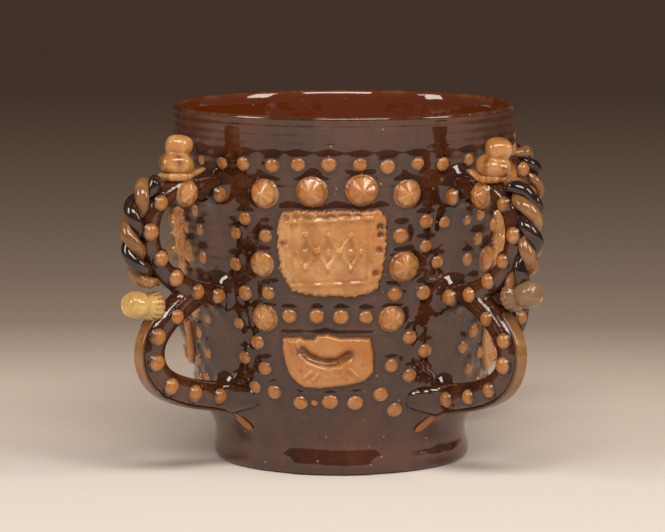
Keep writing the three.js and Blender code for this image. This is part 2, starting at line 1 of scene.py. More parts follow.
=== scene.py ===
# %% [markdown]
# # Dressing a slipware tyg
# A tyg is a pottery cup for sharing, with a handle for each drinker. This one is red earthenware under a
# brown lead glaze, with stamped pads, rosettes, pellets and twisted ropes of pale clay. Its solids are
# already made, so this lesson loads them as a fixed frame and models what the eye sees in their place: soft
# clay edges, presses of the stamp, pooled glaze. Every size is in millimetres and becomes metres only when
# a mesh is made.

# %% Load the frame
import math
import random

import bpy
import numpy as np
from mathutils import Matrix, Vector


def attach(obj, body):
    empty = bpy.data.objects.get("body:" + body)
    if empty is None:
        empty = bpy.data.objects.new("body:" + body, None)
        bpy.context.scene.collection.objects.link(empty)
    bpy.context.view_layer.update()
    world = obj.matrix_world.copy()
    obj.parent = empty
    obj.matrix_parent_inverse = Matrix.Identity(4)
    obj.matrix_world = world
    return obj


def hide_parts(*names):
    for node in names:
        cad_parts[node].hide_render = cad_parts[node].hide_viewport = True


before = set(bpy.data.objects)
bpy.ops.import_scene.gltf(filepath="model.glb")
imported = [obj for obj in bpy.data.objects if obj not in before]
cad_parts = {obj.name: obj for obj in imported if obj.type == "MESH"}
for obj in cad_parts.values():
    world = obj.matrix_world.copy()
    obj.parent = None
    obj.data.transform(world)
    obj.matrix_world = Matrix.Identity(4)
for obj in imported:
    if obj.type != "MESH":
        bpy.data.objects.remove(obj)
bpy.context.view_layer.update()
bpy.ops.object.select_all(action="DESELECT")
print("solids in the frame:", len(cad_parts))

# %% [markdown]
# ## Measures
# The looks share the sizes of the solids, so they are written once here. The camera looks at the front
# panel, and a handle stands between each two panels. Angles go round the axis, with the front panel at
# minus 90 degrees.

# %% Measures in millimetres
MM = 0.001
wall_knots = [(50.2, 13.5), (57.2, 29.5), (61.8, 64), (66.5, 120), (68, 140.6)]
panels = {"front": -90, "right": 0, "back": 90, "left": 180}
handles = {"front_right": -45, "back_right": 45, "back_left": 135, "front_left": 225}
chance = random.Random(7)

# %% [markdown]
# ## The line of the wall
# Everything that is pressed on the cup has to follow its wall, so the wall's line comes first. It is a
# spline through five measured points, from the waist above the foot to the rim. Straight lines would do for
# a rough cup, but this glaze is glossy, and each crease in the wall would break its reflections.


# %% A smooth line through points
def mixed(p, q, t, start, end):
    """The point at t on the line that runs from p at start to q at end."""
    return p + (q - p) * (t - start) / (end - start)


def spline(points, samples):
    """A curve through points, with its knots spaced by the root of their distance."""
    points = [np.array(p, float) for p in points]
    points = [2 * points[0] - points[1], *points, 2 * points[-1] - points[-2]]
    curve = []
    for a, b, c, d in zip(points, points[1:], points[2:], points[3:]):
        spans = [np.linalg.norm(q - p) ** 0.5 for p, q in ((a, b), (b, c), (c, d))]
        k0, k1, k2, k3 = np.cumsum([0, *spans])
        for t in np.linspace(k1, k2, samples, endpoint=False):
            ab, bc, cd = mixed(a, b, t, k0, k1), mixed(b, c, t, k1, k2), mixed(c, d, t, k2, k3)
            abc, bcd = mixed(ab, bc, t, k0, k2), mixed(bc, cd, t, k1, k3)
            curve.append(mixed(abc, bcd, t, k1, k2))
    curve.append(points[-2])
    return np.array(curve)


wall_line = spline(wall_knots, 24)


def wall_radius(level):
    """Radius of the outside of the wall at a level, or at an array of levels."""
    return np.interp(level, wall_line[:, 1], wall_line[:, 0])


print("radius at half height:", round(float(wall_radius(70)), 2), "mm")

# %% [markdown]
# ## Hands on the clay
# These helpers are what the hands do again and again. A round form is raised ring by ring, as on the wheel:
# a disc is added, and its rim is extruded and drawn in or out. A bar of clay is a rounded section extruded
# step by step. Both can be done with Spin or a curve with a bevel too, but rings give even quads, which
# bend and shine well.


# %% Raise a round form, or extrude a bar
def shape_up(piece):
    """Turns all faces outwards and goes back to object mode."""
    bpy.ops.mesh.select_all(action="SELECT")
    bpy.ops.mesh.normals_make_consistent(inside=False)
    bpy.ops.object.mode_set(mode="OBJECT")
    bpy.ops.object.shade_smooth()
    piece.select_set(False)
    return piece


def raise_round(name, profile, sides):
    """Raises a closed round form on the Z axis from (radius, height) pairs."""
    (radius, height), *rings = profile
    base = (0, 0, height * MM)
    bpy.ops.mesh.primitive_circle_add(vertices=sides, radius=radius * MM, fill_type="TRIFAN", location=base)
    piece = bpy.context.object
    piece.name = name
    bpy.ops.object.transform_apply(location=True)
    bpy.ops.object.mode_set(mode="EDIT")
    bpy.ops.mesh.select_all(action="SELECT")
    for next_radius, next_height in rings:
        rise = (0, 0, (next_height - height) * MM)
        bpy.ops.mesh.extrude_region_move(TRANSFORM_OT_translate={"value": rise})
        draw = next_radius / radius
        centre = (0, 0, next_height * MM)
        bpy.ops.transform.resize(value=(draw, draw, 1), center_override=centre)
        radius, height = next_radius, next_height
    return shape_up(piece)


def extrude_bar(name, length, width, thickness, corner, steps):
    """A straight bar along X, width along Y and thickness along Z, with rounded long edges."""
    bpy.ops.mesh.primitive_plane_add(size=1, rotation=(0, math.pi / 2, 0))
    piece = bpy.context.object
    piece.name = name
    piece.scale = (thickness * MM, width * MM, 1)
    bpy.ops.object.transform_apply(rotation=True, scale=True)
    bpy.ops.object.mode_set(mode="EDIT")
    bpy.ops.mesh.select_all(action="SELECT")
    bpy.ops.mesh.bevel(offset=corner * MM, segments=4, affect="VERTICES")
    bpy.ops.mesh.select_all(action="SELECT")
    for _ in range(steps):
        step = (length / steps * MM, 0, 0)
        bpy.ops.mesh.extrude_region_move(TRANSFORM_OT_translate={"value": step})
    return shape_up(piece)


# %% [markdown]
# Some things are easier by number than by operator: bending a bar along a handle, or reading how deep a
# stamp has pressed. So two helpers hand the vertices over as an array in millimetres and take them back,
# and a third writes a value on each vertex, which a material can read as an attribute. Many changes fade in
# over some distance. A span in this file is such a pair: where the change is still 0, and where it is full.


# %% Read, move and mark vertices
def spots(piece):
    """The places of a piece's vertices, as rows of x, y and z in millimetres."""
    flat = np.empty(len(piece.data.vertices) * 3, np.float32)
    piece.data.vertices.foreach_get("co", flat)
    return flat.reshape(-1, 3).astype(float) / MM


def settle(piece, places):
    """Puts the vertices of a piece at places in millimetres."""
    piece.data.vertices.foreach_set("co", (places * MM).astype(np.float32).ravel())
    piece.data.update()


def mark(piece, layer, values):
    """Writes a number on each vertex, for the materials to read."""
    attribute = piece.data.attributes.new(layer, "FLOAT", "POINT")
    attribute.data.foreach_set("value", np.asarray(values, np.float32))


def smooth_step(value, low, high):
    """0 at low and 1 at high, with a soft start and end. Low may be the larger number."""
    share = np.clip((value - low) / (high - low), 0, 1)
    return share * share * (3 - 2 * share)


def apply_modifier(piece, kind, **settings):
    """Adds a modifier, sets it and applies it at once."""
    bpy.context.view_layer.objects.active = piece
    piece.select_set(True)
    modifier = piece.modifiers.new(kind.title(), kind)
    for name, value in settings.items():
        setattr(modifier, name, value)
    bpy.ops.object.modifier_apply(modifier=modifier.name)
    piece.select_set(False)


def copy_of(piece, name, matrix):
    """A copy with its own mesh, moved by a matrix in millimetres."""
    twin = piece.copy()
    twin.data = piece.data.copy()
    twin.name = name
    bpy.context.collection.objects.link(twin)
    move = matrix.copy()
    move.translation = matrix.translation * MM
    twin.data.transform(move)
    if move.determinant() < 0:
        twin.data.flip_normals()
    return twin


def joined(pieces, name):
    """Makes one piece of several."""
    bpy.ops.object.select_all(action="DESELECT")
    for piece in pieces:
        piece.select_set(True)
    bpy.context.view_layer.objects.active = pieces[0]
    bpy.ops.object.join()
    pieces[0].name = name
    pieces[0].select_set(False)
    return pieces[0]


# %% [markdown]
# ## Places on the wall
# A pellet or a rosette is modelled once, lying flat with its top along Z. To press a copy on the wall, a
# matrix is needed whose Z points out of the wall and whose Y points up it. The wall leans outwards a
# little, so the matrix takes its slope from the wall's line.


# %% A matrix that lies on the wall
def on_wall(angle, level, sink=0.0, turn=0.0):
    """The place at an angle in degrees and a level, as a matrix with Z out of the wall."""
    around = math.radians(angle)
    step = 0.5
    slope = float(wall_radius(level + step) - wall_radius(level - step)) / (2 * step)
    outward = Vector((math.cos(around), math.sin(around), -slope)).normalized()
    right = Vector((-math.sin(around), math.cos(around), 0))
    up = outward.cross(right)
    radius = float(wall_radius(level)) - sink
    frame_of_place = Matrix((right, up, outward)).transposed().to_4x4()
    frame_of_place.translation = Vector((radius * math.cos(around), radius * math.sin(around), level))
    return frame_of_place @ Matrix.Rotation(turn, 4, "Z")


print("a place on the front panel:", [round(v, 1) for v in on_wall(-90, 80).translation])

# %% [markdown]
# ## The cup
# The real cup was thrown: a lump of clay was opened and its wall pulled up between finger and thumb. It is
# made the same way here. One disc is extruded ring by ring up the outside, over the lip and down the inside
# to the floor, so that the wall has its true thickness. Slow waves round the rim and fine uneven rings up
# the wall keep it from looking turned on a lathe, and the foot is pushed out a little where it was lifted
# off the wheel.

# %% Throw the cup
foot_profile = [(47.6, 0), (49.2, 0.3), (50.0, 1.2), (50.35, 2.6), (50.3, 5), (50.1, 8), (49.9, 11)]
lip_profile = [(68.0, 139.6), (67.85, 140.3), (67.3, 140.8), (66.5, 140.9), (65.8, 140.5), (65.3, 139.6)]
floor_profile = [(46.2, 20), (45.2, 15), (43.3, 11.4), (40, 9.2), (35, 8.2), (20, 8), (1, 8)]
wall_levels = np.linspace(13.5, 138, 76)
inner_levels = np.linspace(137, 23, 16)
inner_span = (20, 140)
wall_thickness = (4.7, 2.7)
cup_sides = 200


def inner_radius(level):
    """Radius of the inside: the wall gets thinner from the floor to the rim."""
    return wall_radius(level) - np.interp(level, inner_span, wall_thickness)


profile = [
    *foot_profile,
    *((float(wall_radius(level)), float(level)) for level in wall_levels),
    *lip_profile,
    *((float(inner_radius(level)), float(level)) for level in inner_levels),
    *floor_profile,
]
cup = raise_round("thrown_cup", profile, cup_sides)
apply_modifier(cup, "SUBSURF", levels=1, render_levels=1)
print("cup:", len(cup.data.vertices), "vertices")


# %% Give it the unevenness of the wheel
flare_right = 1.4
flare_front = 0.85
flare_front_span = (21, 18)
flare_level_span = (12, 2.5)
outside_from = 1.2


def foot_flare(around, level):
    """How far the foot is pushed out: at the right, and over a ragged stretch in front."""
    to_right = np.clip(np.cos(around), 0, 1) ** 3
    to_front = np.degrees(np.abs(around + math.pi / 2)) + 0.8 * np.sin(1.7 * level)
    to_front += 1.5 * np.sin(0.6 * level)
    pushed_out = flare_right * to_right + flare_front * smooth_step(to_front, *flare_front_span)
    wavy_level = level + 0.7 * np.sin(4 * around) + 0.3 * np.sin(11 * around)
    return pushed_out * smooth_step(wavy_level, *flare_level_span)


def uneven(places):
    """Slow waves round the cup, uneven rings up the wall and the flare of the foot, as added radius."""
    around = np.arctan2(places[:, 1], places[:, 0])
    level = places[:, 2]
    grow = smooth_step(level, 8, 60)
    oval = 0.25 * np.sin(2 * around + 0.7) + 0.15 * np.sin(3 * around + 2 + level / 60)
    slow_rings = 0.06 * np.sin(level * 0.83 + np.sin(around)) * np.sin(level * 0.21)
    rings = 0.05 * np.sin(level * 1.9) + slow_rings
    return grow * (oval + rings) + foot_flare(around, level)


cup_places = spots(cup)
cup_radius = np.hypot(cup_places[:, 0], cup_places[:, 1])
outside = cup_radius > inner_radius(np.clip(cup_places[:, 2], *inner_span)) + outside_from
cup_places[:, :2] *= (1 + uneven(cup_places) / np.maximum(cup_radius, 1))[:, None]
settle(cup, cup_places)
print("points on the outside:", int(outside.sum()))

# %% [markdown]
# ## The line of a handle
# A handle is two loops. The upper one leaves the wall, turns down like an ear and comes back at half
# height, and the lower one springs from its underside. Each is drawn with two Bezier curves in the plane of
# the handle, and walked by its length, so that a bar can be bent along it and a rope laid on it.


# %% A path that a bar can follow
def bezier(a, b, c, d):
    """Forty points on a Bezier curve from a to d, pulled towards b and c."""
    a, b, c, d = (np.array(p, float) for p in (a, b, c, d))
    t = np.linspace(0, 1, 40)[:, None]
    return (1 - t) ** 3 * a + 3 * (1 - t) ** 2 * t * b + 3 * (1 - t) * t**2 * c + t**3 * d


class Path:
    """A curve as (out, height) points in the plane of a handle, walked by its length."""

    def __init__(self, points):
        gaps = np.linalg.norm(np.diff(points, axis=0), axis=1)
        self.points = points[np.concatenate([[True], gaps > 1e-6])]
        steps = np.linalg.norm(np.diff(self.points, axis=0), axis=1)
        self.marks = np.concatenate([[0], np.cumsum(steps)])
        self.length = float(self.marks[-1])

    def at(self, distance):
        """The point at a distance along the curve."""
        return np.stack([np.interp(distance, self.marks, self.points[:, i]) for i in (0, 1)], axis=-1)

    def outward(self, distance, reach=0.6):
        """The direction across the curve, away from the cup on a loop's outer side."""
        along = self.at(np.minimum(distance + reach, self.length)) - self.at(np.maximum(distance - reach, 0))
        along = along / np.linalg.norm(along, axis=-1, keepdims=True)
        return np.stack([-along[..., 1], along[..., 0]], axis=-1)

    def beside(self, distance, offset):
        """The part of the path between two distances, moved outwards by an offset."""
        return Path(self.at(distance) + self.outward(distance) * offset)


# %% The two loops
# The levels step down from the top of the handle: its widest place, its foot, and the same of the lower loop
top_level = 112.0
upper_reach = 34.4
upper_wide = top_level - 15
upper_foot = top_level - 42.5
lower_wide = upper_foot - 19
lower_foot = upper_foot - 40.3
upper_out = float(wall_radius(upper_wide)) + upper_reach
root = 3.0
# How far the curves are pulled by their middle points, as shares of the reach or in millimetres
upper_start_pull = 0.4
upper_crown_lift = 3.5
upper_foot_pull = 15
upper_end_pull = 0.45
upper_end_lift = 2.55
upper_path = Path(np.vstack([
    bezier(
        (wall_radius(top_level) - root, top_level),
        (upper_out - upper_reach * upper_start_pull, top_level + upper_crown_lift),
        (upper_out, top_level),
        (upper_out, upper_wide),
    ),
    bezier(
        (upper_out, upper_wide),
        (upper_out, upper_wide - upper_foot_pull),
        (upper_out - upper_reach * upper_end_pull, upper_foot + upper_end_lift),
        (wall_radius(upper_foot) - root, upper_foot),
    ),
]))

lower_reach = 36.6
spring_share = 0.85
lower_start_pull = 0.25
lower_start_drop = 3.8
lower_crown_pull = 9.5
lower_foot_pull = 12.5
lower_end_pull = 0.34
lower_end_lift = 3.6
lower_out = float(wall_radius(lower_wide)) + lower_reach
spring = upper_path.at(upper_path.length * spring_share)
lower_path = Path(np.vstack([
    bezier(
        spring,
        (spring[0] + lower_reach * lower_start_pull, spring[1] - lower_start_drop),
        (lower_out, lower_wide + lower_crown_pull),
        (lower_out, lower_wide),
    ),
    bezier(
        (lower_out, lower_wide),
        (lower_out, lower_wide - lower_foot_pull),
        (lower_out - lower_reach * lower_end_pull, lower_foot + lower_end_lift),
        (wall_radius(lower_foot) - root, lower_foot),
    ),
]))
print("loops are", round(upper_path.length), "and", round(lower_path.length), "mm long")


# %% Bend a bar along a path
def bend(piece, path, swell=None):
    """Bends a bar that lies along X: its Z turns into the outward side of the path."""
    places = spots(piece)
    distance = np.clip(places[:, 0], 0, path.length)
    if swell is not None:
        places[:, 1:] *= swell(distance)[:, None]
    ground = path.at(distance) + path.outward(distance) * places[:, 2:]
    settle(piece, np.stack([ground[:, 0], places[:, 1], ground[:, 1]], axis=1))


def flare(path, spread, reach):
    """How much a strap widens where it meets the wall."""
    def swell(distance):
        at = path.at(distance)
        clear = np.maximum(at[..., 0] - wall_radius(at[..., 1]), 0)
        return 1 + spread * np.exp(-clear / reach)
    return swell


# %% [markdown]
# ## The loops
# Each loop is a strap of clay, 9 mm wide, and the potter smeared its ends on the wall while both were soft.
# So a bar is bent along the path and flares where it meets the wall. The two bars are then fused by a voxel
# remesh and smoothed, as a wet thumb does, which rounds the fork where the lower loop springs off. A
# boolean would keep a hard line there. Last, the lower root is drawn along the wall, as the thumb left it
# on the real cup.

# %% Make one pair of loops
strap_width = 9.0
upper_thickness = 8.6
lower_thickness = 10.8
strap_steps = 90
voxel = 0.7
smoothing_passes = 12
smear_length = 9.0
smear_reach = 7.0
smear_lift = 1
smear_height_span = (8, 2)
smear_side_span = (-2, 5)
root_depth = 1.6


def make_strap(name, path, thickness, corner, spread, reach):
    """One strap along its path, wider where it meets the wall."""
    strap = extrude_bar(name, path.length, strap_width, thickness, corner, strap_steps)
    bend(strap, path, flare(path, spread, reach))
    return strap


def make_loops():
    """Both straps, fused and smoothed."""
    upper = make_strap("upper_bar", upper_path, upper_thickness, corner=3.5, spread=0.45, reach=3.2)
    lower = make_strap("lower_bar", lower_path, lower_thickness, corner=3.9, spread=0.36, reach=3.4)
    loops = joined([upper, lower], "loops")
    apply_modifier(loops, "REMESH", mode="VOXEL", voxel_size=voxel * MM)
    apply_modifier(loops, "SMOOTH", factor=0.5, iterations=smoothing_passes)
    return loops


def smear_roots(loops):
    """Draws the lower root along the wall, and keeps all roots from coming through it."""
    places = spots(loops)
    radius = np.hypot(places[:, 0], places[:, 1])
    from_wall = radius - wall_radius(places[:, 2])
    from_root = np.abs(places[:, 2] - lower_foot - smear_lift)
    at_root = smooth_step(from_wall, smear_reach, 0) * smooth_step(from_root, *smear_height_span)
    places[:, 1] += smear_length * at_root * smooth_step(places[:, 1], *smear_side_span)
    radius = np.maximum(radius, wall_radius(places[:, 2]) - root_depth)
    places[:, 0] = np.sqrt(np.maximum(radius**2 - places[:, 1] ** 2, 0))
    settle(loops, places)


loops_model = make_loops()
smear_roots(loops_model)
print("loops:", len(loops_model.data.polygons), "faces, box",
      spots(loops_model).min(0).round(1), spots(loops_model).max(0).round(1))

# %% [markdown]
# ## The rope
# A strand of red clay and a strand of pale clay are twisted round each other and pressed on the outside of
# the upper loop. Each strand is a plain rod that lies beside the rope's middle line, and turning it round
# that line more and more along its length makes the twist. The Simple Deform modifier can twist too, but a
# rule can also pinch the ends of the rod and flatten the rope on its way. Then the rod is bent along the
# loop.

# %% Twist and lay the strands
rope_turns = 2.9
strand_radius = 3.3
strand_offset = 2.0
strand_across = 0.95
strand_along = 1.08
rope_flatness = 0.86
rope_settle = 3.6
rope_height = upper_thickness / 2 + 3.1
strand_steps = 150
strand_sides = 14
strand_tip = 5
tip_size = 0.35


def pinch(length, ends):
    """Draws a rod in at both ends, where it was pinched off."""
    def swell(distance):
        clear = np.minimum(distance, length - distance)
        return tip_size + (1 - tip_size) * np.sqrt(np.clip(clear / ends, 0, 1))
    return swell


def make_strand(path, phase):
    """One strand of the rope, bent along a path. Its phase is where it starts round the rope."""
    rings = [(strand_radius, path.length * i / strand_steps) for i in range(strand_steps + 1)]
    rod = raise_round("rod", rings, strand_sides)
    places = spots(rod)
    distance = places[:, 2]
    angle = phase - 2 * math.pi * rope_turns * distance / path.length
    size = pinch(path.length, strand_tip)(distance)
    across, above = places[:, 0] * size * strand_across, places[:, 1] * size * strand_along
    y = np.cos(angle) * (across + strand_offset * size) - np.sin(angle) * above
    z = np.sin(angle) * (across + strand_offset * size) + np.cos(angle) * above
    settle(rod, np.stack([distance, y, z * rope_flatness - rope_settle * (1 - size)], axis=1))
    bend(rod, path)
    return rod


print("one turn of the rope takes", round(upper_path.length / rope_turns), "mm at most")

# %% Where the rope starts and ends
finial_out = upper_out - 13.7
side_level = upper_foot + 3.3
side_radius = 5.85
path_samples = 400
rope_from_finial = 8.2
rope_below_flange = 3.2


def first_distance(path, test):
    """The first distance along a path at which a test of its (out, height) holds."""
    walk = np.linspace(0, path.length, 2000)
    places = path.at(walk)
    return float(walk[np.argmax(test(places[:, 0], places[:, 1]))])


outer_side = upper_path.beside(np.linspace(0, upper_path.length, path_samples), rope_height)
rope_start = first_distance(outer_side, lambda out, level: out > finial_out + rope_from_finial)
rope_foot = side_level + side_radius - rope_below_flange
rope_end = first_distance(outer_side, lambda out, level: (out > finial_out) & (level < rope_foot))
rope_path = Path(outer_side.at(np.linspace(rope_start, rope_end, 90)))
strand_models = [make_strand(rope_path, phase) for phase in (math.pi / 2, -math.pi / 2)]
print("rope:", round(rope_path.length, 1), "mm, from", rope_path.at(0).round(1),
      "to", rope_path.at(rope_path.length).round(1))

# %% [markdown]
# ## The strip
# The lower loop carries a flat strip of pale clay on its outer side. Its end was pressed on the wall under
# the loop with a finger, which dragged it sideways. The path of the strip is the loop's path moved
# outwards, followed by two points down the wall, and the end is then drawn round the wall. The marks say
# where the pale clay shows through the glaze: along the middle of the strip at the side of the loop, and on
# the pressed end.

# %% Lay the strip
strip_width = 5.7
strip_thickness = 1.4
strip_height = lower_thickness / 2 + 0.05
tail_length = 8.5
tail_drag = 5.5
tail_height = 0.5
tail_from_wall = 5
strip_tip = 3
strip_corner = 0.7
strip_steps = 110
strip_side_span = (lower_foot - 2, lower_wide - 4)
strip_edge_span = (2.0, 2.9)
tail_span = (0.02, 0.12)


def make_strip_path():
    """Down the outer side of the lower loop, then on the wall under it."""
    outer = lower_path.beside(np.linspace(0, lower_path.length, path_samples), strip_height)
    flange_foot = side_level - side_radius
    start = first_distance(outer, lambda out, level: (out > finial_out) & (level < flange_foot))
    end = first_distance(
        outer, lambda out, level: (level < lower_wide) & (out < wall_radius(level) + tail_from_wall)
    )
    along = outer.at(np.linspace(start, end, 16))
    tail_levels = along[-1][1] - np.array([0.35, 1.0]) * tail_length
    tail = [(wall_radius(level) + tail_height, level) for level in tail_levels]
    return Path(spline([*along, *tail], 12))


strip_path = make_strip_path()
strip_model = extrude_bar(
    "strip_bar", strip_path.length, strip_width, strip_thickness, strip_corner, strip_steps
)
bend(strip_model, strip_path, pinch(strip_path.length, strip_tip))
places = spots(strip_model)
on_tail = smooth_step(lower_foot - lower_thickness / 2 - places[:, 2], 0, tail_length)
places[:, 1] += tail_drag * on_tail
places[:, 0] = np.sqrt(places[:, 0] ** 2 - on_tail * places[:, 1] ** 2)
settle(strip_model, places)
on_side = smooth_step(places[:, 2], *strip_side_span)
strip_middle = 1 - smooth_step(np.abs(places[:, 1]), *strip_edge_span)
tail_shows = smooth_step(on_tail, *tail_span)
mark(strip_model, "pale", np.maximum(0.1 + 0.6 * strip_middle * on_side, 0.8 * tail_shows))
mark(strip_model, "pool_and_shade", 0.45 * on_side)
mark(strip_model, "rich", tail_shows)
print("strip:", round(strip_path.length, 1), "mm long, ends at", strip_path.at(strip_path.length).round(1))

# %% [markdown]
# ## Discs and finials
# On top of each handle lies a disc of pale clay whose rim was crimped with the nails, with leaves that
# point to the cup, and on it stands a bobbin. A second bobbin points outwards between the two loops. The
# bobbins were rolled, so they are raised ring by ring. The disc starts round too, and its rim is then
# pulled in and out by a rule that repeats twelve times.

# %% Raise the finials
top_profile = [
    (4.6, 0), (5.8, 0.6), (6.7, 1.8), (6.95, 3.2), (6.8, 4.7), (6.1, 6.0), (5.1, 6.8), (4.55, 7.3),
    (4.4, 7.8), (4.75, 8.3), (5.15, 9.2), (5.35, 10.4), (5.25, 11.8), (4.75, 13.0), (3.8, 13.9),
    (2.5, 14.4), (1.2, 14.6), (0.5, 14.6),
]
side_profile = [
    (2.9, 0), (2.9, 5.4), (3.6, 6.1), (5.0, 6.8), (5.75, 7.9), (5.9, 9.4), (5.5, 10.8), (4.4, 11.7),
    (3.8, 12.3), (3.9, 13.0), (4.6, 13.9), (5.1, 15.2), (5.25, 17.0), (5.15, 18.8), (4.85, 20.3),
    (4.3, 21.3), (3.5, 21.8), (3.1, 21.35), (2.6, 21.75), (1.0, 21.9),
]
top_sides = 66
side_sides = 64
top_neck = 7.8
side_length = 22
side_end = 10
flange_middle = 9.0


def dented(piece, depth, phase):
    """Finger dents in a rolled form."""
    places = spots(piece)
    around = np.arctan2(places[:, 1], places[:, 0])
    dent = depth * (np.sin(3 * around + phase + places[:, 2] * 0.5) + 0.6 * np.sin(5 * around + 2 * phase))
    places[:, :2] *= (1 + dent / 5)[:, None]
    settle(piece, places)
    return piece


def nicked(piece, count, depth, low, high):
    """Nail nicks round a bead, between two heights."""
    places = spots(piece)
    around = np.arctan2(places[:, 1], places[:, 0])
    level = places[:, 2]
    bead = smooth_step(level, low, low + 1.2) * (1 - smooth_step(level, high - 1.2, high))
    nick = (0.5 + 0.5 * np.cos(count * around + 0.25 * level)) ** 3
    places[:, :2] *= (1 - depth * nick * bead)[:, None]
    settle(piece, places)
    mark(piece, "pool_and_shade", nick * bead)
    return piece


top_model = dented(raise_round("top_bobbin", top_profile, top_sides), depth=0.22, phase=0.6)
top_model = nicked(top_model, count=5, depth=0.03, low=0.2, high=top_neck)
side_model = dented(raise_round("side_bobbin", side_profile, side_sides), depth=0.1, phase=2.1)
side_model = nicked(side_model, count=16, depth=0.06, low=6.2, high=11.8)
for model in (top_model, side_model):
    apply_modifier(model, "SUBSURF", levels=1, render_levels=1)
mark(side_model, "pale", smooth_step(spots(side_model)[:, 2], 5.6, 6.6))
# Painted shade on the top bobbin: darker over its lower half and in the neck under its cap
top_height = spots(top_model)[:, 2]
shaded_neck = np.exp(-(((top_height - top_neck) / 0.9) ** 2))
mark(top_model, "pool_and_shade", 0.9 * smooth_step(top_height, 5.5, 1.5) + 0.5 * shaded_neck)
print("bobbins:", len(top_model.data.polygons), "and", len(side_model.data.polygons), "faces")

# %% Crimp the disc
disc_profile = [(4.4, -1.2), (5.6, -0.8), (6.35, 0.1), (6.4, 0.9), (5.9, 1.6), (4.8, 1.9), (3, 2.0)]
crimps = 12
disc_sides = 96
disc_lift = 0.3
disc_top = 1.6


def crimped(piece):
    """Nicks the rim twelve times and pulls two leaves out of it, towards the cup."""
    places = spots(piece)
    around = np.arctan2(places[:, 1], places[:, 0])
    radius = np.hypot(places[:, 0], places[:, 1])
    rim = smooth_step(radius, 3.6, 5.8)
    nick = 0.085 * np.cos(crimps * around) ** 3
    leaf = 1.2 * np.clip(-np.cos(around), 0, 1) ** 22
    side_leaf = 0.55 * np.clip(-np.cos(around - 0.75), 0, 1) ** 30
    grow = 1 + rim * (nick + leaf + side_leaf)
    reach = np.maximum(radius * grow - 6.6, 0)
    places[:, :2] *= grow[:, None]
    places[:, 2] = places[:, 2] * (1 - 0.05 * reach) + 0.26 * reach + 3.2 * rim * side_leaf
    settle(piece, places)
    return piece


disc_model = crimped(raise_round("disc", disc_profile, disc_sides))
seat_distance = first_distance(upper_path, lambda out, level: out > finial_out)
disc_level = float(upper_path.at(seat_distance)[1]) + upper_thickness / 2 + disc_lift
print("disc lies at", round(disc_level, 1), "mm")

# %% [markdown]
# ## Rosettes
# A rosette, or prunt, is a ball of clay flattened by a stamp with a star cut in it. The stamp leaves a low
# dome with seven petals and a thin nicked flange where the clay squeezed out. The dome is raised ring by
# ring and the grooves between the petals are pressed in by rule. Shade Smooth by Angle then keeps the
# ridges sharp, so that each facet catches the light by itself. The lowest ring spreads like the glaze that
# pools round the foot of the real ones. Rosettes and pellets are modelled ten millimetres in radius, and
# each copy is scaled to its own.

# %% Press a rosette
model_radius = 10
petals = 7
rosette_profile = [
    (1.2, -0.14), (1.08, -0.02), (1.02, 0.05), (0.98, 0.12), (0.93, 0.16), (0.89, 0.25), (0.84, 0.32),
    (0.7, 0.4), (0.55, 0.47), (0.4, 0.54), (0.25, 0.6), (0.12, 0.64), (0.04, 0.65),
]
facet_depth = 1.2
nick_depth = 0.7
ridge_angle = 14


def shade_by_angle(piece, degrees):
    """Smooth shading that keeps the ridges steeper than an angle sharp."""
    bpy.context.view_layer.objects.active = piece
    piece.select_set(True)
    bpy.ops.object.shade_smooth_by_angle(angle=math.radians(degrees))
    piece.select_set(False)


def press_rosette():
    """A rosette with its ridges, marked where clay shows and glaze pools, with painted shade in amber on its
    upper left.
    """
    rings = [(r * model_radius, z * model_radius) for r, z in rosette_profile]
    rosette = raise_round("rosette", rings, 8 * petals)
    places = spots(rosette)
    around = np.arctan2(places[:, 1], places[:, 0])
    radius = np.hypot(places[:, 0], places[:, 1]) / model_radius
    valley = np.abs((around * petals / (2 * math.pi)) % 1 - 0.5) * 2
    on_dome = radius * (1 - smooth_step(radius, 0.84, 0.93))
    on_flange = smooth_step(radius, 0.84, 0.9) * (1 - smooth_step(radius, 0.99, 1.05))
    nicks = np.clip(np.sin(5 * around) * np.cos(9 * around), 0, 1)
    places[:, 2] -= facet_depth * valley * on_dome + nick_depth * nicks * on_flange
    settle(rosette, places)
    mark(rosette, "pale", smooth_step(radius, 1.1, 0.97))
    gutter = smooth_step(radius, 0.78, 0.86) * (1 - smooth_step(radius, 0.86, 0.93))
    pool_and_shade = 0.45 * valley**3 * on_dome + 0.4 * on_flange + 0.6 * gutter
    mark(rosette, "pool_and_shade", np.clip(pool_and_shade, 0, 1))
    # Painted shade: the upper left side gets the full amber, and the lower right stays paler
    shaded_side = 0.05 * places[:, 1] - 0.09 * places[:, 0]
    mark(rosette, "rich", 0.1 + 0.8 * smooth_step(shaded_side, 0, 0.7))
    shade_by_angle(rosette, ridge_angle)
    return rosette


rosette_model = press_rosette()
print("rosette:", len(rosette_model.data.polygons), "faces")

# %% [markdown]
# ## Pellets
# Nearly three hundred pellets dot the wall and the handles. Each is a pea of clay pressed flat, with the
# glaze drawn up round it. A shape that repeats this often has to be light, so it has seven rings of twelve
# points, and smooth shading does the rest.

# %% Roll a pellet
pellet_profile = [
    (1.34, -0.22), (1.12, -0.04), (1.0, 0.1), (0.9, 0.3), (0.7, 0.46), (0.38, 0.56), (0.1, 0.58),
]


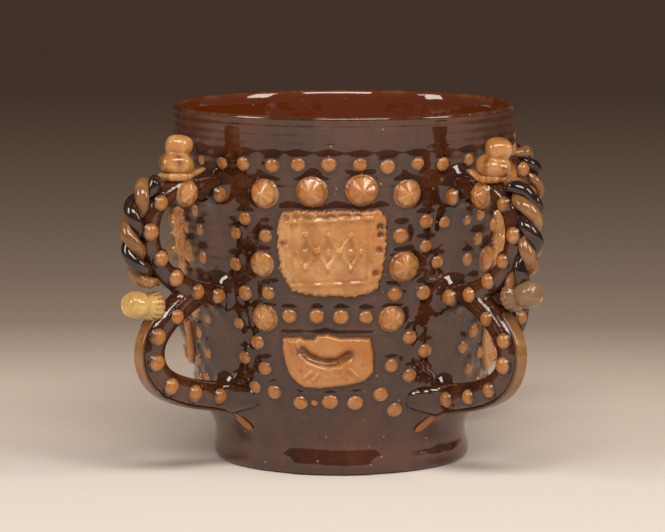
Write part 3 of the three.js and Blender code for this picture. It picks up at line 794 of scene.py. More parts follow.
def roll_pellet():
    """A pellet, marked where glaze pools, with painted shade on its upper right, and where the amber is
    full.
    """
    pellet = raise_round("pellet", [(r * model_radius, z * model_radius) for r, z in pellet_profile], 12)
    places = spots(pellet)
    radius = np.hypot(places[:, 0], places[:, 1]) / model_radius
    mark(pellet, "pale", smooth_step(radius, 1.14, 0.98))
    # Painted shade: the dark rim round each pellet is wider on its upper right side
    to_shaded_upper_right = (0.5 * places[:, 0] + 0.85 * places[:, 1]) / model_radius
    mark(pellet, "pool_and_shade", 0.25 + 0.75 * smooth_step(radius + 0.55 * to_shaded_upper_right, 0.8, 1.4))
    core = np.exp(-((np.hypot(places[:, 0] / 3.5, (places[:, 1] - 2.5) / 5)) ** 2))
    mark(pellet, "rich", 0.35 + 0.65 * core)
    return pellet


pellet_model = roll_pellet()
print("pellet:", len(pellet_model.data.polygons), "faces")

# %% [markdown]
# ## Stamped pads
# A pad is a flat piece of pale clay, pressed on the wall with a carved stamp. It is made from a fine grid.
# The distance of each point from the pad's outline gives the rounded edge, and a few rules for ridges, pits
# and grooves give the relief. A displacement texture could do the same, but rules keep each mark where it
# belongs, and the same rules say where the amber glaze pools.


# %% Distances that the stamp is drawn with
def to_segment(u, v, a, b):
    """Distance of points from the straight line between a and b."""
    a, b = np.array(a, float), np.array(b, float)
    along = b - a
    share = np.clip(((u - a[0]) * along[0] + (v - a[1]) * along[1]) / (along @ along), 0, 1)
    return np.hypot(u - a[0] - share * along[0], v - a[1] - share * along[1])


def inside_of(u, v, outline):
    """Distance from an outline, positive inside it."""
    edges = list(zip(outline, [*outline[1:], outline[0]]))
    away = np.min([to_segment(u, v, a, b) for a, b in edges], axis=0)
    crossings = np.zeros(u.shape, int)
    for (ax, ay), (bx, by) in edges:
        spans = (ay > v) != (by > v)
        rise = by - ay if by != ay else 1
        crossings += spans & (u < ax + (bx - ax) * (v - ay) / rise)
    return np.where(crossings % 2 == 1, away, -away)


def line(u, v, a, b, width):
    """1 on the line between a and b, and less beside it."""
    return np.exp(-((to_segment(u, v, a, b) / width) ** 2))


def spot(u, v, place, radius):
    """1 at a place, and less round it."""
    return np.exp(-((np.hypot(u - place[0], v - place[1]) / radius) ** 2))


# %% Outlines and marks of the two stamps, in millimetres from the middle of the pad
upper_outline = [
    (-19, 16.1), (-12.4, 17), (-4.1, 16.6), (3.1, 17.2), (11.4, 16.7), (18.2, 17.5), (21.3, 13.7),
    (21.1, 6.9), (21.3, 3.1), (20.9, -1), (19.9, -7.2), (18.2, -13.7), (14.3, -15.5), (7.9, -17),
    (1.6, -16.5), (-4.6, -16.9), (-10.2, -15.9), (-14.9, -14.9), (-17.4, -11), (-20.4, -6.1),
    (-19.9, -3.7), (-21.1, 1.6), (-20.9, 6.2), (-21.3, 10.2), (-20.3, 13),
]
pits = [(18.4, 10.6), (18.6, 7.4), (18.1, 1.6), (16.9, -7.4)]
dashes = [
    ((-17.2, 14.6), (-16.6, 13.2)), ((-13.4, 14.8), (-13, 14.4)), ((-11, 14.2), (-7.4, 13.6)),
    ((-4.6, 14.5), (-2, 14.2)), ((-0.4, 14.9), (0.8, 14.7)), ((3.6, 15.2), (6.4, 15)),
    ((9.2, 15.3), (10.4, 15.2)), ((-18.6, 4), (-17, 3.8)),
]
frame_corners = [(-16.4, 12), (15.1, 13.9), (14.7, -11), (-15.9, -12.4)]
lozenges = [-9.2, -0.9, 7.4]
lozenge_top = 7.4
lozenge_middle = 0.8
lozenge_foot = -5.8
lozenge_half_width = 3.7
lower_outline = [
    (-17.6, 8.9), (-10.3, 9.6), (-9.2, 8.6), (-5.3, 8.7), (-3.7, 10.5), (0, 10.8), (4.6, 9.4), (10, 9.6),
    (16.3, 9.3), (17.6, 3.5), (17.7, -4.2), (14.2, -7.9), (7.1, -9.6), (-3, -10.9), (-8.8, -10.6),
    (-12.3, -8.6), (-15, -5.4), (-16.6, -1.6), (-17.8, 4.5),
]
crescent = [(-9.8, 4.0), (-7, 1.6), (-3, 0.2), (0.4, -0.3), (4.2, 0.2), (7.9, 2.6)]
rays = [
    ((-13.7, 7), (-12.4, 3.6)), ((-11.9, 7.3), (-10.1, 3.8)), ((-8.4, -6.6), (-5.7, -4.2)),
    ((-5.5, -7.6), (-3.1, -4.9)), ((5.2, -2.6), (7.2, -6.6)), ((8.2, -2.9), (10.9, -6)),
    ((0.8, -3.2), (1, -6.6)),
]
small_pits = [((-9.9, -3.9), 0.5), ((13.2, -1.2), 0.4)]
print("marks on the stamps:", len(pits) + len(dashes) + len(lozenges), "and", len(rays) + len(small_pits))

# %% The two stamps: how deep or high each mark is, and how wide
pit_depth = 1.7
pit_radius = 1.15
dash_depth = 0.8
dash_width = 1.0
frame_rise = 0.75
frame_width = 0.65
lozenge_rise = 0.95
lozenge_width = 0.75
boss_rise = 1.1
boss_radius = 1.2
crescent_depth = 1.8
crescent_width = 1.8
lip_rise = 0.8
lip_width = 1.2
lip_below = 2.4
ray_rise = 1.0
ray_width = 0.65


def upper_stamp(u, v):
    """Relief of the large stamp: pits and dashes in the margin, a frame, and sunk lozenges with a boss."""
    relief = np.zeros(u.shape)
    for pit in pits:
        relief -= pit_depth * spot(u, v, pit, pit_radius)
    for a, b in dashes:
        relief -= dash_depth * line(u, v, a, b, dash_width)
    for a, b in zip(frame_corners, [*frame_corners[1:], frame_corners[0]]):
        relief += frame_rise * line(u, v, a, b, frame_width) * (0.65 + 0.35 * np.sin(0.8 * u + 1.1 * v))
        inner_a, inner_b = (np.array(a) * 0.9, np.array(b) * 0.9)
        relief -= 0.18 * line(u, v, inner_a, inner_b, 0.8)
    for centre in lozenges:
        middle = (centre, lozenge_middle)
        sides = [(centre + side * lozenge_half_width, lozenge_middle) for side in (1, -1)]
        tips = [(centre, lozenge_top), sides[0], (centre, lozenge_foot), sides[1]]
        relief -= 0.45 * spot(u, v * 0.55 + 0.36, middle, 2.6)
        for a, b in zip(tips, [*tips[1:], tips[0]]):
            relief += lozenge_rise * line(u, v, a, b, lozenge_width)
        relief += boss_rise * spot(u, v, middle, boss_radius)
    return relief


def lower_stamp(u, v):
    """Relief of the small stamp: a sunk crescent with a lip under it, short rays and two small pits."""
    relief = np.zeros(u.shape)
    lip_line = [(x, y - lip_below) for x, y in crescent]
    groove = np.max([line(u, v, a, b, crescent_width) for a, b in zip(crescent, crescent[1:])], axis=0)
    lip = np.max([line(u, v + 0.2, a, b, lip_width) for a, b in zip(lip_line, lip_line[1:])], axis=0)
    relief -= crescent_depth * groove
    relief += lip_rise * lip
    for a, b in rays:
        relief += ray_rise * line(u, v, a, b, ray_width)
    relief -= sum(size * spot(u, v, place, size) for place, size in small_pits)
    return relief


print("the deepest pit of the large stamp is", pit_depth, "mm")

# %% Lay a slab of clay
pad_thickness = 2.2
pad_margin = 0.9
pad_root = 1.5
grid_step = 0.42
skirt_height = 0.3
skirt_width = 0.8
edge_width = 1.3


def lay_clay(name, outline):
    """A flat slab under an outline: a fine grid, cut down to the outline and extruded to its thickness."""
    reach = np.abs(np.array(outline)).max(0) + edge_width
    counts = [int(2 * length / grid_step) for length in reach]
    bpy.ops.mesh.primitive_grid_add(x_subdivisions=counts[0], y_subdivisions=counts[1], size=2)
    pad = bpy.context.object
    pad.name = name
    pad.scale = (reach[0] * MM, reach[1] * MM, 1)
    bpy.ops.object.transform_apply(scale=True)
    flat = spots(pad)
    far = inside_of(flat[:, 0], flat[:, 1], outline) < -pad_margin
    bpy.ops.object.mode_set(mode="EDIT")
    bpy.ops.mesh.select_all(action="DESELECT")
    bpy.ops.object.mode_set(mode="OBJECT")
    pad.data.vertices.foreach_set("select", far)
    bpy.ops.object.mode_set(mode="EDIT")
    bpy.ops.mesh.delete(type="VERT")
    bpy.ops.mesh.select_all(action="SELECT")
    bpy.ops.mesh.extrude_region_move(TRANSFORM_OT_translate={"value": (0, 0, -pad_root * MM)})
    return shape_up(pad)


print("grid step of the pads:", grid_step, "mm")


# %% Press a pad
def press_pad(name, outline, stamp, phase, rich, torn):
    """A pad that lies flat, with Z as its height over the wall.

    Rich is how much of it has the full amber, and torn how ragged its outline is.
    """
    pad = lay_clay(name, outline)
    places = spots(pad)
    u, v = places[:, 0], places[:, 1]
    on_top = places[:, 2] > -pad_root / 2
    ragged = 0.3 * np.sin(1.7 * u + phase) * np.sin(1.3 * v + 2 * phase) + 0.15 * np.sin(3.9 * u - 2.7 * v)
    ragged -= 0.7 * np.clip(np.sin(1.9 * u - 2.3 * v + phase), 0, 1) ** 6
    inside = inside_of(u, v, outline) + torn * ragged
    edge = np.sqrt(np.clip(inside / edge_width, 0, 1))
    soft = 0.12 * np.sin(0.45 * u + phase) * np.sin(0.6 * v - phase)
    soft += 0.04 * np.sin(2.3 * u) * np.sin(2.9 * v + phase)
    relief = stamp(u, v) * smooth_step(inside, 0.1, 1.2)
    drop = 0.5 * np.clip(-inside / skirt_width, 0, 1)
    skirt = skirt_height * np.clip(1 + inside / skirt_width, 0, 1) ** 2 - drop
    skirt = np.where(inside < 0, skirt, skirt_height)
    height = skirt + edge * (pad_thickness - skirt_height + soft + relief)
    places[:, 2] = np.where(on_top, height, places[:, 2])
    settle(pad, places)
    mark(pad, "pale", smooth_step(inside, -0.15, 0.35))
    mark(pad, "pool_and_shade", np.clip(-relief / 0.7, 0, 1) + 0.6 * smooth_step(inside, 0.9, 0.1))
    patch = smooth_step(u + 1.2 * v + 4 * np.sin(0.5 * v + phase), 7, 19)
    mark(pad, "rich", np.clip(rich + 0.45 * patch, 0, 1))
    return pad


def wrap(pad, angle, level):
    """Wraps a flat pad round the wall, so that its middle lies at an angle and a level."""
    places = spots(pad)
    height = level + places[:, 1]
    wall = wall_radius(height)
    around = math.radians(angle) + places[:, 0] / wall
    out = wall + places[:, 2]
    settle(pad, np.stack([out * np.cos(around), out * np.sin(around), height], axis=1))
    return pad


print("a pad stands", pad_thickness, "mm off the wall before it is stamped")

# %% [markdown]
# ## Where everything is pressed on
# The front panel is measured, as degrees from its middle and millimetres of height. The other panels carry
# the same things, put there by the same hand but never on quite the same spot, so their lists are the
# front's, turned over for every second panel and shaken a little by a seeded chance.

# %% Places on a panel: degrees, level, radius
upper_pad_level = 88.45
lower_pad_level = 46.5
top_rosettes = [(-23.6, 111.2, 5.7), (-7.0, 112.4, 6.0), (9.4, 113.2, 6.4), (25.0, 111.4, 5.8)]
low_rosettes = [(-25.4, 83.8, 5.4), (25.1, 83.1, 5.5), (-25.0, 62.7, 5.1), (21.4, 62.9, 5.2)]
wall_pellets = [
    (-15.4, 64, 3.2), (-5.3, 64.2, 3.1), (3.2, 64.1, 3.2), (12.3, 63.9, 3.0), (-31.7, 101.1, 3.1),
    (-35.8, 95, 3.0), (-23.6, 94.7, 3.1), (-36.5, 82.8, 3.0), (-32.8, 71.8, 3.2), (-23.2, 72.6, 3.0),
    (-36.4, 59.6, 3.0), (-28.5, 52.8, 3.2), (-34.5, 46.3, 3.0), (-25.8, 42.7, 3.1), (-30.8, 34.9, 3.0),
    (-22.5, 33.5, 3.1), (23.4, 95.2, 3.2), (32.7, 100.4, 3.1), (33.1, 90.7, 3.0), (40, 99.5, 2.6),
    (38.2, 84.1, 3.0), (22.2, 72.6, 3.1), (33.4, 72.5, 3.1), (29, 55.3, 3.1), (35.7, 49.6, 3.0),
    (22.5, 44.6, 3.1), (30, 40.2, 3.0), (-12.1, 29.9, 3.2), (-0.6, 30.5, 3.1), (9.2, 30.1, 3.2),
    (19, 33.3, 3.1), (25.4, 26.6, 3.3), (-6.5, 30, 1.6),
]
collar_level = 122.4
collar_count = 36
collar_start = -91.4
# On the loops a place is a distance from the axis of the cup and a level
loop_pellets = {
    "near": [
        (68.2, 109.7), (96, 108.3), (100.7, 97.3), (95.9, 86.9), (88, 79), (77.7, 72.5), (67.5, 69.9),
        (87.8, 64.2), (96.8, 56.8), (97.2, 47.2), (90, 37), (78.5, 33), (66.5, 30.6),
    ],
    "far": [
        (68.4, 109.6), (95.5, 108.4), (100.4, 98), (99, 89), (90.3, 79.2), (80.2, 73), (69, 71),
        (88.8, 65.2), (95.2, 60), (96.4, 46.4), (88.6, 38), (77.8, 33.7), (65.8, 30.6),
    ],
}
loop_rosette = (83.4, 111.0, 5.0)
print("pellets on a panel:", len(wall_pellets))
print("pellets on a handle:", sum(len(places) for places in loop_pellets.values()))


# %% Shake the lists for the other panels
def shaken(places, turned_over, shake):
    """The same list on another panel: turned over or not, and shaken in degrees and in millimetres."""
    side = -1 if turned_over else 1
    return [
        (side * angle + chance.uniform(-shake, shake),
         level + chance.uniform(-shake, shake),
         radius * chance.uniform(0.94, 1.07))
        for angle, level, radius in places
    ]


panel_places = {}
for number, (panel, angle) in enumerate(panels.items()):
    shake = 0 if panel == "front" else 0.9
    panel_places[panel] = {
        kind: [(angle + a, level, radius) for a, level, radius in shaken(places, number % 2 == 1, shake)]
        for kind, places in (("top", top_rosettes), ("low", low_rosettes), ("pellets", wall_pellets))
    }
collar = []
for i in range(collar_count):
    angle = collar_start + 360 * i / collar_count + chance.uniform(-0.9, 0.9)
    collar.append((angle, collar_level + chance.uniform(-0.9, 1.4), 3.1 * chance.uniform(0.9, 1.05)))
print("pellets on the wall:", collar_count + 4 * len(wall_pellets))

# %% [markdown]
# ## Pressing things on
# Now each model is copied to its places. A copy gets its own mesh. Small turns and squashes keep the copies
# from looking like copies.

# %% Press rosettes and pellets on the wall
pieces = {}
pellet_size = 0.94
wall_sink = 0.1


def pressed(model, name, angle, level, radius):
    """A copy of a model, scaled to a radius and pressed on the wall."""
    turn = chance.uniform(-0.5, 0.5)
    flat = chance.uniform(0.88, 1.12)
    size = radius / model_radius
    sizes = Matrix.Diagonal((size * chance.uniform(0.97, 1.03), size, size * flat, 1))
    return copy_of(model, name, on_wall(angle, level, wall_sink, turn) @ sizes)


def dotted(name, places):
    """Pellets at a list of places on the wall, as one piece."""
    dots = [pressed(pellet_model, "dot", a, level, pellet_size * radius) for a, level, radius in places]
    return joined(dots, name)


for panel in panels:
    places_here = panel_places[panel]
    for number, place in enumerate(places_here["top"], 1):
        pieces[f"{panel}_rosette_{number}"] = pressed(rosette_model, f"{panel}_rosette_{number}", *place)
    low = [pressed(rosette_model, "low", *place) for place in places_here["low"]]
    pieces[f"{panel}_low_rosettes"] = joined(low, f"{panel}_low_rosettes")
    pieces[f"{panel}_pellets"] = dotted(f"{panel}_pellets", places_here["pellets"])
pieces["collar_pellets"] = dotted("collar_pellets", collar)
print("pieces on the wall:", len(pieces))

# %% Press the pads
pad_kinds = {
    "upper": (upper_outline, upper_stamp, upper_pad_level, -0.5, 0.06, 0.9),
    "lower": (lower_outline, lower_stamp, lower_pad_level, -1.4, 0.4, 0.15),
}
pad_turns = {"front": 0.0, "right": -3.3, "back": 0.8, "left": 3.3}
for number, (panel, angle) in enumerate(panels.items()):
    for kind, (outline, stamp, level, turn, rich, torn) in pad_kinds.items():
        name = f"{panel}_{kind}_stamp"
        pad = press_pad(name, outline, stamp, 1.3 * number + len(kind), rich, torn)
        pieces[name] = wrap(pad, angle + turn + pad_turns[panel], level)
print("pads:", len(pieces["front_upper_stamp"].data.polygons), "faces each")

# %% [markdown]
# ## Setting the handles
# One handle is complete now, lying along the X axis. Each of its pieces is copied four times and turned to
# its place, and the pellets and rosettes go on both sides of the loops. How far out a side lies is read
# from the loops' own mesh, because they swell where they meet the wall. The near side of a handle is the
# one towards the front or back panel. It lies at plus Y on two of the handles and at minus Y on the others,
# so these are mirrored.

# %% Find the sides of the loops, and put pellets there
loop_spots = spots(loops_model)
dot_radius = 3.05
dot_sink = 0.15
rose_sink = 0.2
side_reach = 2.0
dot_shake = 0.4


def side_of(out, level):
    """How far from the middle plane the side of the loops lies at a place."""
    near = np.hypot(loop_spots[:, 0] - out, loop_spots[:, 2] - level) < side_reach
    return float(loop_spots[near, 1].max()) if near.any() else strap_width / 2


def on_loop(out, level, side, sink):
    """A matrix with Z out of one side of the loops."""
    turn = Matrix.Rotation(-side * math.pi / 2, 4, "X")
    spin = Matrix.Rotation(chance.uniform(0, 2 * math.pi), 4, "Z")
    return Matrix.Translation((out, side * (side_of(out, level) - sink), level)) @ turn @ spin


def loop_dots(side, places):
    """Pellets on one side of the loops, each a little off its place and size."""
    dots = []
    for out, level in places:
        size = dot_radius * chance.uniform(0.92, 1.08) / model_radius
        out = out + chance.uniform(-dot_shake, dot_shake)
        level = level + chance.uniform(-dot_shake, dot_shake)
        place = on_loop(out, level, side, dot_sink)
        dots.append(copy_of(pellet_model, "dot", place @ Matrix.Scale(size, 4)))
    return dots


print("half width of the upper loop at its rosette:", round(side_of(*loop_rosette[:2]), 2), "mm")


# %% Seats of the bobbins, and the glaze round the pellets
pool_radius = 3.0
pool_fade = 1.2
wall_pool_fade = 2.0
side_face = 3.0  # points farther than this from the middle plane lie on a side of the loops


def lean(piece, degrees, base):
    """Leans a piece outwards round its base."""
    centre = Matrix.Translation((finial_out, 0, base))
    return centre @ Matrix.Rotation(math.radians(degrees), 4, "Y") @ centre.inverted() @ piece


def side_seat(out, up, tilt):
    """Where a side bobbin sits: moved out and up, and tilted up round its flange."""
    flange_out = upper_out + side_end - side_length + flange_middle + out
    flange = Matrix.Translation((flange_out, 0, side_level + up))
    turn = Matrix.Rotation(math.pi / 2 - math.radians(tilt), 4, "Y")
    return flange @ turn @ Matrix.Translation((0, 0, -flange_middle))


def loop_pool():
    """Where glaze gathers on the loops: round what is pressed on their sides, and at the wall."""
    side = np.sign(loop_spots[:, 1])
    gap = np.full(len(loop_spots), 1e3)
    listed = [(1, place, pool_radius) for place in loop_pellets["near"]]
    listed += [(-1, place, pool_radius) for place in loop_pellets["far"]]
    listed += [(face, loop_rosette[:2], loop_rosette[2]) for face in (-1, 1)]
    for face, (out, level), radius in listed:
        reach = np.hypot(loop_spots[:, 0] - out, loop_spots[:, 2] - level) - radius
        gap = np.where(side == face, np.minimum(gap, reach), gap)
    gap = np.maximum(gap, 0) + np.maximum(side_face - np.abs(loop_spots[:, 1]), 0)
    from_wall = np.hypot(loop_spots[:, 0], loop_spots[:, 1]) - wall_radius(loop_spots[:, 2])
    return np.maximum(np.exp(-gap / pool_fade), np.exp(-np.maximum(from_wall, 0) / wall_pool_fade))


print("points on the loops:", len(loop_spots))


# %% Copy the pieces of a handle to one place
def set_handle(place, angle, finial_lean, side_place, tan):
    """Copies every piece of the handle to one place round the cup.

    Tan is how much of that clay's darker colour the side bobbin has.
    """
    turned = Matrix.Rotation(math.radians(angle), 4, "Z")
    near = 1 if place in ("front_left", "back_right") else -1
    bobbin_base = disc_level + disc_top
    bobbin_seat = lean(Matrix.Translation((finial_out, 0, bobbin_base)), finial_lean, bobbin_base)
    dark_model, light_model = strand_models[::near]
    models = {
        "loops": (loops_model, Matrix.Diagonal((1, near, 1, 1))),
        "dark_rope": (dark_model, Matrix()),
        "light_rope": (light_model, Matrix()),
        "band": (strip_model, Matrix.Diagonal((1, near, 1, 1))),
        "pinched_disc": (disc_model, Matrix.Translation((finial_out, 0, disc_level))),
        "top_bobbin": (top_model, bobbin_seat),
        "side_bobbin": (side_model, side_seat(*side_place)),
    }
    for kind, (model, seat) in models.items():
        name = f"{place}_{kind}"
        pieces[name] = copy_of(model, name, turned @ seat)
    mark(pieces[f"{place}_loops"], "pool_and_shade", loop_pool())
    mark(pieces[f"{place}_side_bobbin"], "rich", np.full(len(side_model.data.vertices), tan))
    dots = loop_dots(near, loop_pellets["near"]) + loop_dots(-near, loop_pellets["far"])
    out, level, radius = loop_rosette
    roses = []
    for side in (-1, 1):
        seat = on_loop(out, level, side, rose_sink) @ Matrix.Scale(radius / model_radius, 4)
        roses.append(copy_of(rosette_model, "rose", seat))
    for kind, parts in (("loop_pellets", dots), ("loop_rosettes", roses)):
        name = f"{place}_{kind}"
        pieces[name] = joined(parts, name)
        pieces[name].data.transform(turned)


print("the base of a top bobbin is at", round(disc_level + disc_top, 1), "mm")

# %% Set the four handles
# Degrees that the top bobbin leans outwards. For the side bobbin: out and up in millimetres, and its tilt
finial_leans = {"front_right": 15, "back_right": 4, "back_left": 6, "front_left": -6}
side_places = {
    "front_right": (1.5, 0.7, 11),
    "back_right": (0.3, 0.4, 7),
    "back_left": (0.0, -1.2, 5),
    "front_left": (0.0, -4.5, 9),
}
tans = {"front_right": 0.85, "back_right": 0.7, "back_left": 0.8, "front_left": 0.0}
for place, angle in handles.items():
    set_handle(place, angle, finial_leans[place], side_places[place], tans[place])
finial_models = (disc_model, top_model, side_model)
for model in (loops_model, *strand_models, strip_model, *finial_models, rosette_model, pellet_model):
    bpy.data.objects.remove(model)
print("pieces:", len(pieces))

# %% [markdown]
# ## Glaze that gathers, and a painted dark rim
# Lead glaze runs while it is hot and gathers round everything that stands on the wall. So each point of the
# cup learns how far it is from the nearest applied piece. That number lifts the glaze a little against the
# piece, as the surface of any liquid creeps up, and darkens the glaze there: partly as pooled glaze, and
# partly as a painted dark reflection, which is widest above each piece.
# The roots of the loops get a wider fillet of clay, and one short stretch of the lip is worn down to the
# pale glaze.

# %% Measure along the wall from each point of the cup
round_things = [*collar]
for places_here in panel_places.values():
    for kind in ("top", "low", "pellets"):
        round_things.extend(places_here[kind])

cup_around = np.degrees(np.arctan2(cup_places[:, 1], cup_places[:, 0]))
cup_level = cup_places[:, 2]
nearness = np.full(len(cup_places), 1e3)
above = np.zeros(len(cup_places))
root_lift = np.zeros(len(cup_places))


def degrees_between(a, b):
    return (a - b + 180) % 360 - 180


def across_wall(angle, level):
    """How far each point of the cup lies to one side of an angle, along the wall."""
    return np.radians(degrees_between(cup_around, angle)) * wall_radius(level)


def take_nearer(gap, share_above):
    """Keeps the least gap of each point, and how far above the piece it lies, from -1 to 1."""
    global nearness, above
    above = np.where(gap < nearness, share_above, above)
    nearness = np.minimum(nearness, gap)


print("round things on the wall:", len(round_things))

# %% Find how near each point of the cup is to a piece
root_fillet = 1.9
root_reach = 2.0
root_half_width = 6.0
root_heights = ((top_level, 6.2), (upper_foot, 6.0), (lower_foot, 7.0))
for angle, level, radius in round_things:
    away = np.hypot(across_wall(angle, level), cup_level - level)
    take_nearer(away - radius, (cup_level - level) / np.maximum(away, 1))
for panel, angle in panels.items():
    for outline, _, level, turn, _, _ in pad_kinds.values():
        across = across_wall(angle + turn + pad_turns[panel], level)
        half_height = max(v for _, v in outline)
        share_above = np.clip((cup_level - level) / half_height, -1, 1) ** 5
        take_nearer(-inside_of(across, cup_level - level, outline), share_above)
for angle in handles.values():
    for level, half_height in root_heights:
        stretch = np.hypot(across_wall(angle, level) / root_half_width, (cup_level - level) / half_height)
        gap = (stretch - 1) * root_half_width
        take_nearer(gap, np.clip((cup_level - level) / half_height, -1, 1))
        root_lift = np.maximum(root_lift, root_fillet * np.exp(-np.maximum(gap, 0) / root_reach))
nearness = np.where(outside, np.maximum(nearness, 0), 1e3)
uphill = np.clip(above, 0, 1)
print("points within 2 mm of a piece:", int((nearness < 2).sum()))

# %% Lift the glaze against the pieces, and mark what the material reads
worn_at = -9.0
worn_span = 3.5
creep_height = 0.32 + 0.4 * uphill
creep_reach = 1.2 + 1.1 * uphill
# How far the pooled glaze and the painted dark reflection reach: farther above a piece
pool_and_shade_reach = 1.5 + 1.2 * uphill
creep = creep_height * np.exp(-((nearness / creep_reach) ** 1.4)) + root_lift * outside
cup_radius = np.hypot(cup_places[:, 0], cup_places[:, 1])
cup_places[:, :2] *= (1 + creep / np.maximum(cup_radius, 1))[:, None]
settle(cup, cup_places)
worn = np.exp(-((degrees_between(cup_around, worn_at) / worn_span) ** 2))
# The dark rim round the pieces is partly pooled glaze and partly painted dark reflection
mark(cup, "pool_and_shade", np.exp(-nearness / pool_and_shade_reach))
mark(cup, "inside", np.where(outside, 0, smooth_step(cup_places[:, 2], 0, 12)))
mark(cup, "lip", smooth_step(cup_places[:, 2], 138.8, 140.3) * (0.25 + 0.75 * worn))
mark(cup, "bare", smooth_step(cup_places[:, 2], 0.9, 0.3) * outside)
pieces["thrown_cup"] = cup
print("the glaze creeps up to", round(float(creep.max()), 2), "mm")

# %% [markdown]
# ## A slight lean
# Nothing thrown by hand stands quite upright. The rim has slid about a millimetre to the right of the foot,
# so all pieces are sheared together, which keeps the foot flat on the table.

# %% Lean the whole cup
lean_share = 0.014
lean_centre = 65.0
shear = Matrix()
shear[0][2] = lean_share
shear[0][3] = -lean_share * lean_centre * MM
for piece in pieces.values():
    piece.data.transform(shear)
print("the rim leans", round(lean_share * (140 - lean_centre), 2), "mm to the right")

# %% [markdown]
# ## Writing materials
# A material is a net of nodes. Wiring it by hand in code is hard to read, so a small class stands for one
# socket and lets sums be written as sums: `0.5 + 0.2 * spots` makes its own Math nodes. One method adds
# every other node.

# %% A socket that can be reckoned with
class Wire:
    """One output of a node. Sums with it add Math nodes."""

    def __init__(self, paint, socket):
        self.paint = paint
        self.socket = socket

    def maths(self, operation, a, b):
        return self.paint.node("Math", {"operation": operation}, {0: a, 1: b})

    def __add__(self, other):
        return self.maths("ADD", self, other)

    def __radd__(self, other):
        return self.maths("ADD", other, self)

    def __mul__(self, other):
        return self.maths("MULTIPLY", self, other)

    def __rmul__(self, other):
        return self.maths("MULTIPLY", other, self)


print("a wire can be added and multiplied")


# %% A material to wire up
class Paint:
    """A material and the nodes in it."""

    def __init__(self, name):
        self.material = bpy.data.materials.new(name)
        self.material.use_nodes = True
        self.tree = self.material.node_tree
        self.tree.nodes.clear()

    def node(self, kind, settings=None, sockets=None, output=0):
        """Adds a node: its settings first, then the values or links of its sockets."""
        node = self.tree.nodes.new("ShaderNode" + kind)
        for name, value in (settings or {}).items():
            setattr(node, name, value)
        for name, value in (sockets or {}).items():
            if isinstance(value, Wire):
                self.tree.links.new(value.socket, node.inputs[name])
            else:
                node.inputs[name].default_value = value
        return Wire(self, node.outputs[output])

    def mix(self, share, a, b):
        """A colour between two colours."""
        a, b = [(*c, 1) if isinstance(c, tuple) else c for c in (a, b)]
        return self.node("Mix", {"data_type": "RGBA"}, {0: share, 6: a, 7: b}, 2)

    def noise(self, scale, detail=3.0, rough=0.5, stretch=(1, 1, 1)):
        """Noise on the object's own coordinates. Scale is in patches per metre."""
        place = self.node("TexCoord", output=3)
        place = self.node("Mapping", None, {"Vector": place, "Scale": stretch})
        sockets = {"Vector": place, "Scale": scale, "Detail": detail, "Roughness": rough}
        return self.node("TexNoise", None, sockets)

    def cells(self, scale):
        """Distance to the nearest of many scattered points."""
        place = self.node("TexCoord", output=3)
        return self.node("TexVoronoi", None, {"Vector": place, "Scale": scale})

    def between(self, value, low, high):
        """0 below low, 1 above high, smooth between them."""
        settings = {"interpolation_type": "SMOOTHSTEP"}
        return self.node("MapRange", settings, {0: value, 1: low, 2: high})

    def ramp(self, value, stops):
        """A colour from a row of (place, colour) stops."""
        wire = self.node("ValToRGB", None, {0: value})
        elements = wire.socket.node.color_ramp.elements
        for place, _ in stops[2:]:
            elements.new(place)
        for element, (place, colour) in zip(elements, stops):
            element.position = place
            element.color = (*colour, 1)
        return wire

    def layer(self, name):
        """A number that was marked on the vertices."""
        return self.node("Attribute", {"attribute_name": name}, output=2)

    def bump(self, height, distance, strength, under=None):
        """A fine relief, laid on the relief under it. Distance is in metres."""
        sockets = {"Height": height, "Distance": distance, "Strength": strength}
        if under is not None:
            sockets["Normal"] = under
        return self.node("Bump", None, sockets)

    def finish(self, colour, roughness, normal, ior=1.5):
        """Joins all to the shader. The index of refraction is the same all over, so it is only a number."""
        sockets = {"Base Color": colour, "Roughness": roughness, "Normal": normal, "IOR": ior}
        shader = self.node("BsdfPrincipled", None, sockets)
        out = self.tree.nodes.new("ShaderNodeOutputMaterial")
        self.tree.links.new(shader.socket, out.inputs["Surface"])
        return self.material


print("object coordinates are output 3 of Texture Coordinate")

# %% [markdown]
# ## Brown lead glaze
# The body is red earthenware. The glaze over it looks nearly black where it is thick and a warm red brown
# where it is thin, it has pinholes and pale specks, and it never lies quite flat, which is why the
# reflections in it are ragged. The Principled shader does this with a dark base colour and a high index of
# refraction, since lead makes glass bend light more.

# %% The glaze over red clay
glaze_ior = 1.7
dark_glaze = (0.044, 0.0125, 0.005)
warm_glaze = (0.105, 0.028, 0.009)
inner_glaze = (0.150, 0.026, 0.004)
# Nearly black: pooled glaze, also used as the painted dark reflection round the pieces
pooled_glaze_and_shade = (0.014, 0.005, 0.003)
worn_lip = (0.42, 0.20, 0.07)
bare_clay = (0.32, 0.12, 0.06)
speck_colour = (0.42, 0.30, 0.20)


def glaze_colour(paint):
    """The mottled colour of the glaze over red clay, before wear."""
    clouds = paint.noise(55, 4, 0.6)
    mottle = paint.noise(420, 3, 0.6)
    runs = paint.noise(90, 3, 0.6, (1, 1, 0.22))
    thin = paint.between(0.45 * clouds + 0.35 * runs + 0.2 * mottle, 0.36, 0.66)
    return paint.mix(thin, dark_glaze, warm_glaze)


def glaze_normal(paint):
    """Slow swells, then the orange peel of the glaze."""
    swells = paint.bump(paint.noise(70, 2, 0.5), 0.0005, 0.6)
    rings = paint.bump(paint.noise(45, 3, 0.6, (0.2, 0.2, 7)), 0.00002, 0.6, swells)
    ripples = paint.bump(paint.noise(240, 2, 0.5), 0.00006, 0.7, rings)
    return paint.bump(paint.noise(900, 2, 0.5), 0.00001, 0.5, ripples)


